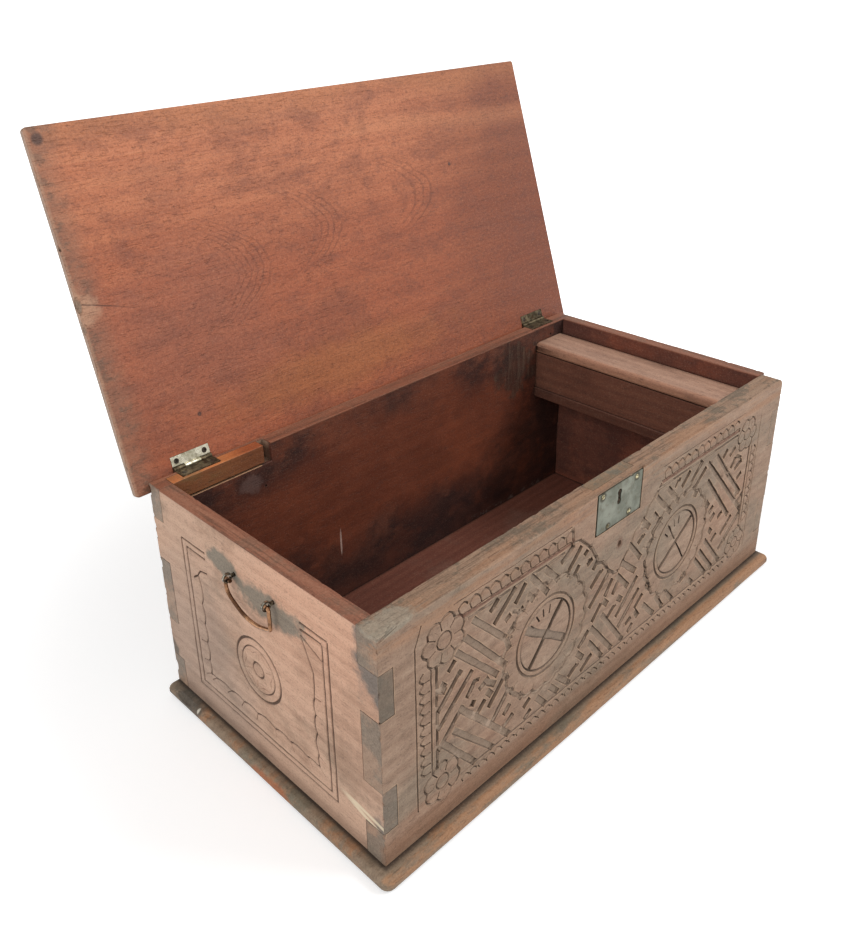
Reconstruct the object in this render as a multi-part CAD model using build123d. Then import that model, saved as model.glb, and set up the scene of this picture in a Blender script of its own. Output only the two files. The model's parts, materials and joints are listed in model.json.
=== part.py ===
"""Damchiya chest: a finger-jointed teak box on one projecting base plank.

Millimetres, +Z up, +X right along the front, +Y to the back. The origin is on
the floor under the middle of the carcass. The lid is drawn standing open on
its stop, and the bail handles hang down. Each piece of the chest is one node.
"""
import os
from math import acos, asin, degrees, hypot

from build123d import *

# ---------------------------------------------------------------- driving dimensions
# Carcass boards. The fingers' heights go from the base up, as shares of the wall.
body_length = 560.0
body_depth = 282.0
body_top = 222.5
front_thickness = 20.0
back_thickness = 16.0
end_thickness = 14.0
finger_shares = (32.0, 40.0, 65.0, 41.0, 32.5)
rim_chamfer = 1.5
worn_corner_radius = 9.0

# Bottom board, whose edges stand out below the walls.
base_thickness = 12.0
base_front_overhang = 13.0
base_left_overhang = 11.0
base_right_overhang = 2.0
base_nose_radius = 5.0
base_corner_radius = 8.0

# Lid and where it turns.
lid_thickness = 11.0
lid_end_overhang = 12.2
lid_front_overhang = 11.6
lid_rear_overhang = 10.8
lid_edge_radius = 6.0
lid_corner_radius = 3.0
lid_seat_gap = 0.1
lid_stop_gap = 0.2

# Butt hinges, let in flush.
hinge_back_offset = 3.5
hinge_length = 38.0
hinge_centre_knuckle = 16.0
hinge_left_inset = 45.4
hinge_right_inset = 46.5
knuckle_radius = 2.2
knuckle_gap = 0.15
hinge_pin_radius = 1.1
pin_clearance = 0.05
leaf_thickness = 1.1
leaf_swing_clearance = 0.3
lid_leaf_width = 11.0
rim_leaf_width = 15.5
leaf_screw_pitch = 28.0
lid_screw_from_axis = 6.5
rim_screw_from_axis = 9.5

# Patch let into the back rim under the left hinge, short of its notch.
hinge_patch_length = 93.0
hinge_patch_height = 17.5
hinge_patch_depth = 12.5
hinge_patch_end_gap = 8.0
hinge_patch_floor_gap = 1.5

# Till: a small box with its own lid across the right end.
till_width = 48.0
till_wall = 12.0
till_bottom_underside = 138.0
till_wall_height = 44.0
till_bottom_nose = 1.6
till_bottom_edge_share = 0.9
till_housing_depth = 3.0
till_lid_thickness = 12.0
till_lid_nose = 1.5
till_lid_edge_radius = 4.5
till_lid_end_gap = 0.4
till_lid_wall_gap = 0.5
till_pintle_radius = 3.0
till_pintle_length = 5.0
pintle_clearance = 0.08

# Lock plate on the front and the lock let in behind it.
lock_centre_x = -5.3
keyhole_centre_z = 207.5
keyhole_lobe_radius = 2.9
keyhole_lobe_pitch = 8.8
keyhole_neck_width = 4.2
plate_left_x = -35.5
plate_right_x = 28.0
plate_bottom_z = 182.0
plate_top_z = 220.5
plate_thickness = 1.2
plate_recess_depth = 2.0
plate_recess_left_gap = 2.8
plate_corner_radius = 1.5
plate_nail_insets = ((6.1, 3.4), (8.7, 4.0), (17.1, 4.0), (15.9, 3.0))
case_length = 52.0
case_height = 40.0
case_depth = 9.0
case_wall = 1.2
case_fit = 0.1
cap_thickness = 1.5
cap_lug = 6.0
cap_screw_inset = 5.0
rim_patch_left_x = -34.0
rim_patch_right_x = 24.0
rim_patch_depth = 12.0
rim_patch_thickness = 4.5

# Lock bolt, its guide stumps and its spring.
bolt_travel = 8.0
bolt_thickness = 3.0
bolt_bar_height = 9.0
bolt_bar_from_case_floor = 5.2
bolt_clearance = 0.1
bolt_nose_length = 5.5
bolt_nose_height = 6.0
bolt_arm_width = 6.0
bolt_nose_below_case_top = 6.0
bolt_tail_gap = 0.5
bolt_end_gap = 0.3
stump_radius = 1.5
stump_fit = 0.08
stumps_from_centre = (-13.0, 7.0)
talon_radius = 3.0
talon_left_of_centre = 3.0
staple_slot_spare = 2.0
spring_thickness = 0.6
spring_half_length = 20.0
spring_gap = 0.3

# Bail handles, hammered to eight flats, and the split-pin eyes that carry them.
bail_bar_radius = 1.6
bail_bar_sides = 8
bail_bend_radius = 2.2
bail_shoulder_drop = 13.5
bail_shoulder_radius = 13.0
bail_sweep_drop = 29.0
bail_sweep_radius = 40.0
bail_front_leg = 19.5
bail_tip = 1.5
bail_axis_z = 189.0
bail_axis_offset = 6.5
eye_front_y = -27.5
eye_back_y = 22.0
eye_strip_width = 2.0
eye_strip_thickness = 1.3
eye_ring_inner_radius = 2.9
eye_bail_gap = 0.3
eye_seat_gap = 0.3
eye_clench_length = 7.0

# Fasteners.
screw_head_radius = 2.5
screw_shank_radius = 1.2
screw_head_height = 1.0
screw_length = 8.5
dome_nail_radius = 2.3
dome_nail_height = 1.0
dome_nail_shank_radius = 0.7
dome_nail_length = 6.2
base_nail_side = 2.4
base_nail_length = 32.0
base_nail_head = 6.0
base_nail_head_height = 0.8
base_nail_sink = 0.4
base_nail_inset = 42.0
fastener_fit = 0.05

# ---------------------------------------------------------------- places that follow
half_length = body_length / 2
inner_x = half_length - end_thickness
front_y = -body_depth / 2
back_y = body_depth / 2
inner_front_y = front_y + front_thickness
inner_back_y = back_y - back_thickness
hinge_y = back_y + hinge_back_offset
hinge_axis = Axis((0, hinge_y, body_top), (-1, 0, 0))
lid_open_angle = degrees(acos(-(hinge_back_offset - lid_stop_gap) / lid_rear_overhang))
hinge_places = {"left": -half_length + hinge_left_inset, "right": half_length - hinge_right_inset}

till_face_x = inner_x - till_width
till_floor_z = till_bottom_underside + till_wall
till_top_z = till_floor_z + till_wall_height
pivot_x = inner_x - till_lid_wall_gap - till_lid_thickness / 2
pivot_z = till_top_z + till_lid_thickness / 2

plate_seat_y = front_y + plate_recess_depth
cap_y = inner_front_y - cap_thickness
case_y = cap_y - case_depth
case_top_z = body_top - rim_patch_thickness
case_bottom_z = case_top_z - case_height
bolt_bar_z = case_bottom_z + bolt_bar_from_case_floor


# ---------------------------------------------------------------- plain forms
def block(x, y, z):
    """A box between two limits on each axis."""
    size = [high - low for low, high in (x, y, z)]
    centre = [(high + low) / 2 for low, high in (x, y, z)]
    return Pos(*centre) * Box(*size)


def rod(start, end, radius):
    """A round bar from one point to another."""
    run = Vector(*end) - Vector(*start)
    from_start = (Align.CENTER, Align.CENTER, Align.MIN)
    return Plane(origin=start, z_dir=run) * Cylinder(radius, run.length, align=from_start)


def taper(start, direction, start_radius, end_radius, length):
    """A cone frustum that runs from a point along a direction."""
    from_start = (Align.CENTER, Align.CENTER, Align.MIN)
    return Plane(origin=start, z_dir=direction) * Cone(start_radius, end_radius, length, align=from_start)


def mirrored_in_x(shape):
    """The same piece for the other end of the chest."""
    return mirror(shape, about=Plane.YZ)


# ---------------------------------------------------------------- fasteners
def screw(head, direction, spare=0.0):
    """A countersunk wood screw whose flat head lies at a point. Spare makes its hole."""
    run = Vector(*direction).normalized()
    tip = Vector(*head) + run * (screw_length + spare)
    head_cone = taper(head, run, screw_head_radius + spare, screw_shank_radius + spare, screw_head_height)
    return head_cone + rod(head, tip, screw_shank_radius + spare)


def dome_nail(face, spare=0.0):
    """A domed nail driven along +Y, its head resting on a face."""
    shank_end = Vector(*face) + Vector(0, dome_nail_length + spare, 0)
    shank = rod(face, shank_end, dome_nail_shank_radius + spare)
    if spare:
        return shank
    # The head is the cap of a ball as wide and as high as the dome.
    ball_radius = (dome_nail_radius**2 + dome_nail_height**2) / (2 * dome_nail_height)
    ball_centre = Vector(*face) + Vector(0, ball_radius - dome_nail_height, 0)
    x, y, z = face
    reach = 2 * dome_nail_radius
    in_front = block((x - reach, x + reach), (y - reach, y), (z - reach, z + reach))
    return shank + (Pos(*ball_centre) * Sphere(ball_radius) & in_front)


def base_nail(x, y, spare=0.0):
    """A forged square nail driven up through the bottom board into a wall."""
    seat = base_nail_sink + base_nail_head_height
    head_bottom = 0.0 if spare else base_nail_sink
    head_half = base_nail_head / 2 + spare
    half = base_nail_side / 2 + spare
    head = block((x - head_half, x + head_half), (y - head_half, y + head_half), (head_bottom, seat))
    return head + block((x - half, x + half), (y - half, y + half), (head_bottom, base_nail_length + spare))


def base_nails(spare=0.0):
    """The nails under all four walls, near their ends and at their thirds."""
    walls = []
    corner_x = half_length - base_nail_inset
    corner_y = body_depth / 2 - base_nail_inset
    for y in ((front_y + inner_front_y) / 2, (back_y + inner_back_y) / 2):
        walls += [(x, y) for x in (-corner_x, -corner_x / 3, corner_x / 3, corner_x)]
    for x in (-half_length + end_thickness / 2, half_length - end_thickness / 2):
        walls += [(x, y) for y in (-corner_y, corner_y)]
    return [base_nail(x, y, spare) for x, y in walls]


def leaf_screws(hinge_x, from_axis, face_z, direction, spare=0.0):
    """The two screws of one hinge leaf."""
    places = (hinge_x - leaf_screw_pitch / 2, hinge_x + leaf_screw_pitch / 2)
    return [screw((x, hinge_y - from_axis, face_z), direction, spare) for x in places]


def rim_leaf_screws(hinge_x, spare=0.0):
    """Screws down through the rim leaf into the back board."""
    return leaf_screws(hinge_x, rim_screw_from_axis, body_top, (0, 0, -1), spare)


def lid_leaf_screws(hinge_x, spare=0.0):
    """Screws up through the lid leaf, as the lid lies when shut."""
    return leaf_screws(hinge_x, lid_screw_from_axis, body_top + lid_seat_gap, (0, 0, 1), spare)


def plate_nails(spare=0.0):
    """The four nails of the lock plate, which no two hammer blows set alike."""
    face_y = plate_seat_y - plate_thickness
    top_left, top_right, bottom_right, bottom_left = plate_nail_insets
    places = (
        (plate_left_x + top_left[0], plate_top_z - top_left[1]),
        (plate_right_x - top_right[0], plate_top_z - top_right[1]),
        (plate_right_x - bottom_right[0], plate_bottom_z + bottom_right[1]),
        (plate_left_x + bottom_left[0], plate_bottom_z + bottom_left[1]),
    )
    return [dome_nail((x, face_y, z), spare) for x, z in places]


def cap_screws(spare=0.0):
    """A screw in each corner of the lock's cap, where it laps the wood."""
    reach = case_length / 2 + cap_lug / 2
    cap_screw_levels = (case_bottom_z + cap_screw_inset, case_top_z - cap_screw_inset)
    places = [(lock_centre_x + side * reach, z) for side in (-1, 1) for z in cap_screw_levels]
    return [screw((x, inner_front_y, z), (0, -1, 0), spare) for x, z in places]


# ---------------------------------------------------------------- carcass
def finger_levels():
    """The lower and upper height of each corner finger, from the base up."""
    wall_height = body_top - base_thickness
    heights = [base_thickness]
    for share in finger_shares:
        heights.append(heights[-1] + wall_height * share / sum(finger_shares))
    return list(zip(heights, heights[1:]))


def bottom_board():
    """The base plank, with its front and left edges rounded over."""
    plank = block(
        (-half_length - base_left_overhang, half_length + base_right_overhang),
        (front_y - base_front_overhang, back_y),
        (0, base_thickness),
    )
    corner = plank.edges().filter_by(Axis.Z).sort_by(lambda edge: edge.center().X + edge.center().Y)[0]
    plank = fillet(corner, base_corner_radius)

    def stands_out(edge):
        middle = edge.center()
        level = abs(middle.Z) < 0.01 or abs(middle.Z - base_thickness) < 0.01
        return level and (middle.Y < front_y or middle.X < -half_length)

    plank = fillet(plank.edges().filter_by(stands_out), base_nose_radius)
    return plank - base_nails(fastener_fit)


def long_board(outer_y, inner_y):
    """A front or back board. Its own fingers are the first, third and fifth."""
    board = block((-half_length, half_length), sorted((outer_y, inner_y)), (base_thickness, body_top))
    for low, high in finger_levels()[1::2]:
        for side in (-1, 1):
            slot = sorted((side * inner_x, side * half_length))
            board -= block(slot, sorted((outer_y, inner_y)), (low, high))
    return board - base_nails(fastener_fit)


def end_board(side):
    """A left (-1) or right (1) board. Its own fingers are the second and fourth."""
    width = sorted((side * inner_x, side * half_length))
    board = block(width, (front_y, back_y), (base_thickness, body_top))
    for low, high in finger_levels()[0::2]:
        board -= block(width, (front_y, inner_front_y), (low, high))
        board -= block(width, (inner_back_y, back_y), (low, high))
    board -= base_nails(fastener_fit)
    return board - [eye_hole(side, y) for y in (eye_front_y, eye_back_y)]


def front_board():
    """The front board, with the lock's recesses and the till's housings."""
    board = long_board(front_y, inner_front_y)
    rim_edge = board.edges().filter_by(Axis.X).sort_by(lambda edge: edge.center().Z - edge.center().Y)[-1]
    board = chamfer(rim_edge, rim_chamfer)
    right_corner = board.edges().filter_by(Axis.Y).sort_by(lambda edge: edge.center().Z + edge.center().X)[-1]
    board = fillet(right_corner, worn_corner_radius)
    board -= plate_recess()
    board -= lock_mortise()
    board -= block(
        (rim_patch_left_x, rim_patch_right_x),
        (inner_front_y - rim_patch_depth, inner_front_y),
        (case_top_z, body_top),
    )
    board -= keyhole(front_y, inner_front_y)
    board -= plate_nails(fastener_fit)
    board -= cap_screws(fastener_fit)
    board -= till_housings(inner_front_y - till_housing_depth, inner_front_y)
    return board - till_pivot_hole(inner_front_y, -1)


def back_board():
    """The back board, with its hinge mortises, patch notch and till housings."""
    board = long_board(back_y, inner_back_y)
    board -= block(
        (-inner_x, -inner_x + hinge_patch_length + hinge_patch_end_gap),
        (inner_back_y, inner_back_y + hinge_patch_depth),
        (body_top - hinge_patch_height - hinge_patch_floor_gap, body_top),
    )
    for hinge_x in hinge_places.values():
        board -= rim_leaf_mortise(hinge_x)
        board -= rim_leaf_screws(hinge_x, fastener_fit)
    board -= till_housings(inner_back_y, inner_back_y + till_housing_depth)
    return board - till_pivot_hole(inner_back_y, 1)


def hinge_rim_patch():
    """A newer strip let into the back rim, which carries the left hinge."""
    patch = block(
        (-inner_x, -inner_x + hinge_patch_length),
        (inner_back_y, inner_back_y + hinge_patch_depth),
        (body_top - hinge_patch_height, body_top),
    )
    patch -= rim_leaf_mortise(hinge_places["left"])
    return patch - rim_leaf_screws(hinge_places["left"], fastener_fit)


def lock_rim_patch():
    """The strip that closes the top of the lock's mortise in the front rim."""
    return block(
        (rim_patch_left_x, rim_patch_right_x),
        (inner_front_y - rim_patch_depth, inner_front_y),
        (case_top_z, body_top),
    )


# ---------------------------------------------------------------- till
def till_sections():
    """The X and Z limits of the till's bottom and front boards."""
    bottom = ((till_face_x, inner_x), (till_bottom_underside, till_floor_z))
    front = ((till_face_x, till_face_x + till_wall), (till_floor_z, till_top_z))
    return bottom, front


def till_housings(low_y, high_y):
    """The grooves in a long board that take the ends of the till's boards."""
    return [block(x, (low_y, high_y), z) for x, z in till_sections()]


def till_bottom_board():
    """The till's bottom, housed at both ends, with a nosing along its open edge."""
    (x, z), _ = till_sections()
    board = block(x, (inner_front_y - till_housing_depth, inner_back_y + till_housing_depth), z)
    nosing = block((till_face_x - till_bottom_nose, till_face_x), (inner_front_y, inner_back_y), z)
    nose_edges = nosing.edges().filter_by(Axis.Y).group_by(Axis.X)[0]
    return board + fillet(nose_edges, till_bottom_edge_share * till_bottom_nose)


def till_front_board():
    """The till's wall, housed at both ends."""
    _, (x, z) = till_sections()
    return block(x, (inner_front_y - till_housing_depth, inner_back_y + till_housing_depth), z)


def till_pivot_hole(face_y, outward):
    """The blind hole in a long board for a pintle of the till lid."""
    depth = till_pintle_length + till_lid_end_gap
    start = (pivot_x, face_y, pivot_z)
    end = (pivot_x, face_y + outward * depth, pivot_z)
    return rod(start, end, till_pintle_radius + pintle_clearance)


def till_lid():
    """The till's lid, rounded about the pintles that are turned on its ends."""
    low_y = inner_front_y + till_lid_end_gap
    high_y = inner_back_y - till_lid_end_gap
    z = (till_top_z, till_top_z + till_lid_thickness)
    board = block((till_face_x - till_lid_nose, pivot_x), (low_y, high_y), z)
    nose_edges = board.edges().filter_by(Axis.Y).group_by(Axis.X)[0]
    board = fillet(nose_edges, till_lid_edge_radius)
    board += rod((pivot_x, low_y, pivot_z), (pivot_x, high_y, pivot_z), till_lid_thickness / 2)
    pintle_start = (pivot_x, low_y - till_pintle_length, pivot_z)
    pintle_end = (pivot_x, high_y + till_pintle_length, pivot_z)
    return board + rod(pintle_start, pintle_end, till_pintle_radius)


# ---------------------------------------------------------------- lid and hinges
def opened(shape):
    """A piece of the shut lid, turned up to where the lid stands open."""
    return shape.rotate(hinge_axis, lid_open_angle)


def knuckle_rod(hinge_x, low, high, radius):
    """A round bar on the hinge axis, between two places along one hinge."""
    return rod((hinge_x + low, hinge_y, body_top), (hinge_x + high, hinge_y, body_top), radius)


def knuckle_spans():
    """Where the two outer knuckles and the centre one lie along a hinge."""
    end = hinge_length / 2
    middle = hinge_centre_knuckle / 2
    return ((-end, -middle), (middle, end)), ((-middle + knuckle_gap, middle - knuckle_gap),)


def hinge_leaf(hinge_x, width, z, own_spans, other_spans):
    """A leaf with its knuckles, cut back round the knuckles of the other leaf."""
    half = hinge_length / 2
    relief_radius = knuckle_radius + leaf_swing_clearance
    leaf = block((hinge_x - half, hinge_x + half), (hinge_y - width, hinge_y), z)
    for low, high in other_spans:
        leaf -= knuckle_rod(hinge_x, low - knuckle_gap, high + knuckle_gap, relief_radius)
    for low, high in own_spans:
        leaf += knuckle_rod(hinge_x, low, high, knuckle_radius)
    return leaf - knuckle_rod(hinge_x, -half, half, hinge_pin_radius + pin_clearance)


def hinge_rim_leaf(hinge_x):
    """The wide leaf on the rim, which carries the two outer knuckles."""
    outer, centre = knuckle_spans()
    leaf = hinge_leaf(hinge_x, rim_leaf_width, (body_top - leaf_thickness, body_top), outer, centre)
    return leaf - rim_leaf_screws(hinge_x, fastener_fit)


def hinge_lid_leaf(hinge_x):
    """The narrow leaf on the lid, which carries the centre knuckle."""
    outer, centre = knuckle_spans()
    underside = body_top + lid_seat_gap
    leaf = hinge_leaf(hinge_x, lid_leaf_width, (underside, underside + leaf_thickness), centre, outer)
    return leaf - lid_leaf_screws(hinge_x, fastener_fit)


def rim_leaf_mortise(hinge_x):
    """The shallow seat for a rim leaf."""
    half = hinge_length / 2
    return block(
        (hinge_x - half, hinge_x + half),
        (hinge_y - rim_leaf_width, hinge_y),
        (body_top - leaf_thickness, body_top),
    )


def lid_board():
    """The lid's one plank, as it lies when shut, let in for the lid leaves."""
    underside = body_top + lid_seat_gap
    half = half_length + lid_end_overhang
    plank = block(
        (-half, half),
        (front_y - lid_front_overhang, hinge_y + lid_rear_overhang),
        (underside, underside + lid_thickness),
    )
    plank = fillet(plank.edges().filter_by(Axis.Z), lid_corner_radius)
    plank = fillet(plank.edges().group_by(Axis.Z)[-1], lid_edge_radius)
    for hinge_x in hinge_places.values():
        end = hinge_length / 2
        plank -= block(
            (hinge_x - end, hinge_x + end),
            (hinge_y - lid_leaf_width, hinge_y),
            (underside, underside + leaf_thickness),
        )
        clear = leaf_swing_clearance
        plank -= knuckle_rod(hinge_x, -end - clear, end + clear, knuckle_radius + clear)
        plank -= lid_leaf_screws(hinge_x, fastener_fit)
    return plank


# ---------------------------------------------------------------- lock
def keyhole(low_y, high_y):
    """Two round lobes joined by a neck, cut between two depths."""
    middle = (lock_centre_x, keyhole_centre_z)
    lobes = [Pos(0, side * keyhole_lobe_pitch / 2) * Circle(keyhole_lobe_radius) for side in (-1, 1)]
    outline = Rectangle(keyhole_neck_width, keyhole_lobe_pitch) + lobes
    face = Plane(origin=(middle[0], high_y, middle[1]), x_dir=(1, 0, 0), z_dir=(0, -1, 0)) * outline
    return extrude(face, amount=high_y - low_y)


def plate_recess():
    """The recess for the lock plate, cut a little wide on the left."""
    return block(
        (plate_left_x - plate_recess_left_gap, plate_right_x),
        (front_y, plate_seat_y),
        (plate_bottom_z, body_top),
    )


def lock_plate():
    """The iron plate over the lock, with its keyhole."""
    plate = block(
        (plate_left_x, plate_right_x),
        (plate_seat_y - plate_thickness, plate_seat_y),
        (plate_bottom_z, plate_top_z),
    )
    plate = fillet(plate.edges().filter_by(Axis.Y), plate_corner_radius)
    plate -= keyhole(front_y, plate_seat_y)
    return plate - plate_nails(fastener_fit)


def case_block(y, inset=0.0):
    """The lock case's block between two depths, shrunk by an inset."""
    half = case_length / 2 - inset
    return block(
        (lock_centre_x - half, lock_centre_x + half),
        y,
        (case_bottom_z + inset, case_top_z - max(inset, 0.0)),
    )


def cap_block():
    """The cap's own block, which laps the wood at both ends of the case."""
    half = case_length / 2 + cap_lug
    return block(
        (lock_centre_x - half, lock_centre_x + half),
        (cap_y, inner_front_y),
        (case_bottom_z, case_top_z),
    )


def lock_mortise():
    """The hole in the front board for the lock case and its cap."""
    return case_block((case_y, inner_front_y), -case_fit) + cap_block()


def stump_places():
    """The centres of the two stumps that guide the bolt."""
    level = bolt_bar_z + bolt_bar_height / 2
    return [(lock_centre_x + along, level) for along in stumps_from_centre]


def lock_case():
    """The lock's tray, open to the cap, with its stumps and staple slot."""
    tray = case_block((case_y, cap_y)) - case_block((case_y + case_wall, cap_y), case_wall)
    for x, z in stump_places():
        tray += rod((x, case_y, z), (x, cap_y, z), stump_radius)
    tray -= keyhole(case_y, case_y + case_wall)
    slot_left = lock_centre_x + case_length / 4
    slot = block(
        (slot_left, slot_left + bolt_travel + staple_slot_spare),
        (case_y + 2 * case_wall, cap_y - 2 * case_wall),
        (case_top_z - case_wall, case_top_z),
    )
    return tray - slot


def lock_bolt():
    """The bolt drawn back: a slotted bar, an arm up past the key, and a nose."""
    low_y = case_y + case_wall + bolt_clearance
    y = (low_y, low_y + bolt_thickness)
    bar_left = lock_centre_x - case_length / 2 + case_wall + bolt_tail_gap
    arm_right = lock_centre_x + case_length / 2 - case_wall - bolt_travel - bolt_nose_length - bolt_end_gap
    bar_top = bolt_bar_z + bolt_bar_height
    nose_top = case_top_z - bolt_nose_below_case_top
    bolt = block((bar_left, arm_right), y, (bolt_bar_z, bar_top))
    bolt += block((arm_right - bolt_arm_width, arm_right), y, (bar_top, nose_top))
    bolt += block((arm_right, arm_right + bolt_nose_length), y, (nose_top - bolt_nose_height, nose_top))
    talon_x = lock_centre_x - talon_left_of_centre
    bolt -= rod((talon_x, y[0], bar_top), (talon_x, y[1], bar_top), talon_radius)
    slot_radius = stump_radius + stump_fit
    for x, z in stump_places():
        bolt -= block((x - bolt_travel, x), y, (z - slot_radius, z + slot_radius))
        bolt -= [rod((end, y[0], z), (end, y[1], z), slot_radius) for end in (x - bolt_travel, x)]
    return bolt


def lock_spring():
    """A bowed flat spring on the floor of the case, under the bolt's bar."""
    floor = case_bottom_z + case_wall + spring_thickness / 2
    crown = bolt_bar_z - spring_gap - spring_thickness / 2
    bow = ThreePointArc((-spring_half_length, floor), (0, crown), (spring_half_length, floor))
    low_y = case_y + case_wall + bolt_clearance
    strip_plane = Plane(origin=(lock_centre_x, low_y + bolt_thickness, 0), x_dir=(1, 0, 0), z_dir=(0, -1, 0))
    return extrude(strip_plane * trace(bow, spring_thickness), amount=bolt_thickness)


def lock_cap():
    """The flat plate that shuts the lock, flush with the inside of the chest."""
    return cap_block() - cap_screws(fastener_fit)


# ---------------------------------------------------------------- bail handles
def eye_hole(side, y):
    """The drilled hole through an end board for both legs of an eye."""
    z = ring_centre_z()
    corner_reach = hypot(eye_strip_thickness, eye_strip_width / 2)
    return rod((side * inner_x, y, z), (side * half_length, y, z), corner_reach + fastener_fit)


def ring_centre_z():
    """An eye's height, so that the bail's end rests low in its ring."""
    return bail_axis_z + eye_ring_inner_radius - bail_bar_radius - eye_seat_gap


def handle_eye(y):
    """A split pin of iron strip: a ring outside and two legs, clenched up and down inside."""
    ring_x = -half_length - bail_axis_offset
    z = ring_centre_z()
    inside_x = -inner_x + fastener_fit
    outline = Pos(ring_x, z) * Circle(eye_ring_inner_radius + eye_strip_thickness)
    legs_x = (ring_x + eye_ring_inner_radius, inside_x + eye_strip_thickness)
    outline += Pos(sum(legs_x) / 2, z) * Rectangle(legs_x[1] - legs_x[0], 2 * eye_strip_thickness)
    clench_x = inside_x + eye_strip_thickness / 2
    outline += Pos(clench_x, z) * Rectangle(eye_strip_thickness, 2 * eye_clench_length)
    outline -= Pos(ring_x, z) * Circle(eye_ring_inner_radius)
    back_face = Plane((0, y + eye_strip_width / 2, 0), (1, 0, 0), (0, -1, 0))
    return extrude(back_face * outline, eye_strip_width)


def handle_eyes():
    """Both split pins of the left end."""
    return [handle_eye(y) for y in (eye_front_y, eye_back_y)]


def bail_handle():
    """The left bail: one long sweep and a short straight leg, its ends hooked through the eyes."""
    axis_x = -half_length - bail_axis_offset
    leg_from_eye = eye_strip_width / 2 + bail_bar_radius + eye_bail_gap
    back_leg_y = eye_back_y + leg_from_eye
    front_leg_y = eye_front_y - leg_from_eye
    tip_past_eye = leg_from_eye + bail_tip
    corners = (
        (axis_x, eye_back_y - tip_past_eye, bail_axis_z),
        (axis_x, back_leg_y, bail_axis_z),
        (axis_x, back_leg_y, bail_axis_z - bail_shoulder_drop),
        (axis_x, (back_leg_y + front_leg_y) / 2, bail_axis_z - bail_sweep_drop),
        (axis_x, front_leg_y, bail_axis_z - bail_front_leg),
        (axis_x, front_leg_y, bail_axis_z),
        (axis_x, eye_front_y + tip_past_eye, bail_axis_z),
    )
    bend = bail_bend_radius
    path = FilletPolyline(*corners, radius=(bend, bail_shoulder_radius, bail_sweep_radius, bend, bend))
    section = Plane(origin=path @ 0, z_dir=path % 0) * RegularPolygon(bail_bar_radius, bail_bar_sides)
    return sweep(section, path=path)


# ---------------------------------------------------------------- nodes
def chest_nodes():
    """Every piece of the chest, under the name of its node."""
    nodes = {
        "bottom_board": bottom_board(),
        "front_board": front_board(),
        "back_board": back_board(),
        "left_end_board": end_board(-1),
        "right_end_board": end_board(1),
        "hinge_rim_patch": hinge_rim_patch(),
        "lock_rim_patch": lock_rim_patch(),
        "bottom_board_nails": Compound(base_nails()),
        "till_bottom_board": till_bottom_board(),
        "till_front_board": till_front_board(),
        "till_lid": till_lid(),
        "lid_board": opened(lid_board()),
        "lock_plate": lock_plate(),
        "lock_plate_nails": Compound(plate_nails()),
        "lock_case": lock_case(),
        "lock_bolt": lock_bolt(),
        "lock_spring": lock_spring(),
        "lock_cap": lock_cap(),
        "lock_cap_screws": Compound(cap_screws()),
        "left_handle_eyes": Compound(handle_eyes()),
        "left_bail_handle": bail_handle(),
    }
    rim_screws = []
    lid_screws = []
    for end, hinge_x in hinge_places.items():
        half = hinge_length / 2
        nodes[f"{end}_hinge_rim_leaf"] = hinge_rim_leaf(hinge_x)
        nodes[f"{end}_hinge_lid_leaf"] = opened(hinge_lid_leaf(hinge_x))
        nodes[f"{end}_hinge_pin"] = knuckle_rod(hinge_x, -half, half, hinge_pin_radius)
        rim_screws += rim_leaf_screws(hinge_x)
        lid_screws += lid_leaf_screws(hinge_x)
    nodes["hinge_rim_screws"] = Compound(rim_screws)
    nodes["hinge_lid_screws"] = opened(Compound(lid_screws))
    for piece in ("handle_eyes", "bail_handle"):
        nodes[f"right_{piece}"] = mirrored_in_x(nodes[f"left_{piece}"])
    return nodes


os.makedirs("parts", exist_ok=True)
for name, shape in chest_nodes().items():
    export_step(shape, f"parts/{name}.step")
bail_inward = degrees(asin((bail_axis_offset - bail_bar_radius - eye_seat_gap) / bail_sweep_drop))
print("lid stands open at", round(lid_open_angle, 2), "degrees")
print("a bail swings inward by", round(bail_inward, 2), "degrees")
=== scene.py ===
"""A small carved teak chest standing open: a finger-jointed box on one base plank, with a hinged plank lid,
a lidded till, an iron lock plate and a bail handle on each end. Lengths are in metres."""

import json
import math
import random

import bmesh
import bpy
from mathutils import Matrix, Vector, noise

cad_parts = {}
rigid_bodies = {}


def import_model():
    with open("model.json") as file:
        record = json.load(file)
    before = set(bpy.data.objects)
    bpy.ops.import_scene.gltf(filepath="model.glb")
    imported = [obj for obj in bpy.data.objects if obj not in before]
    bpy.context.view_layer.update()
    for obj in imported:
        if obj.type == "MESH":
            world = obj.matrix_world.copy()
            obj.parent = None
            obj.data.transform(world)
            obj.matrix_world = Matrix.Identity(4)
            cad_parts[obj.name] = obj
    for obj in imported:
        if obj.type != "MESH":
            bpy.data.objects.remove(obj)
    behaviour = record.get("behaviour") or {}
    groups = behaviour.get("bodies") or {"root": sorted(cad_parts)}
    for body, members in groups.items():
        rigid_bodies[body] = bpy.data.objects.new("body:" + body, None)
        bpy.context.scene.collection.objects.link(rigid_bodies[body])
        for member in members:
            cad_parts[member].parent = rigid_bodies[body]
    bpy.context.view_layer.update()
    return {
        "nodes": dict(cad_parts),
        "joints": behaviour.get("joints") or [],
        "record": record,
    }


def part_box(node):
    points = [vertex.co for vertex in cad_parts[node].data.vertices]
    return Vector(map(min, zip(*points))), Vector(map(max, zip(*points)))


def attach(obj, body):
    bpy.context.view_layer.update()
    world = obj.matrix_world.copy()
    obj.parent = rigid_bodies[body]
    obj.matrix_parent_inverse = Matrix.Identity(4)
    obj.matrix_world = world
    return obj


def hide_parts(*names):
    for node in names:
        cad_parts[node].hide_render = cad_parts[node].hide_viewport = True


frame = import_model()

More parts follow.
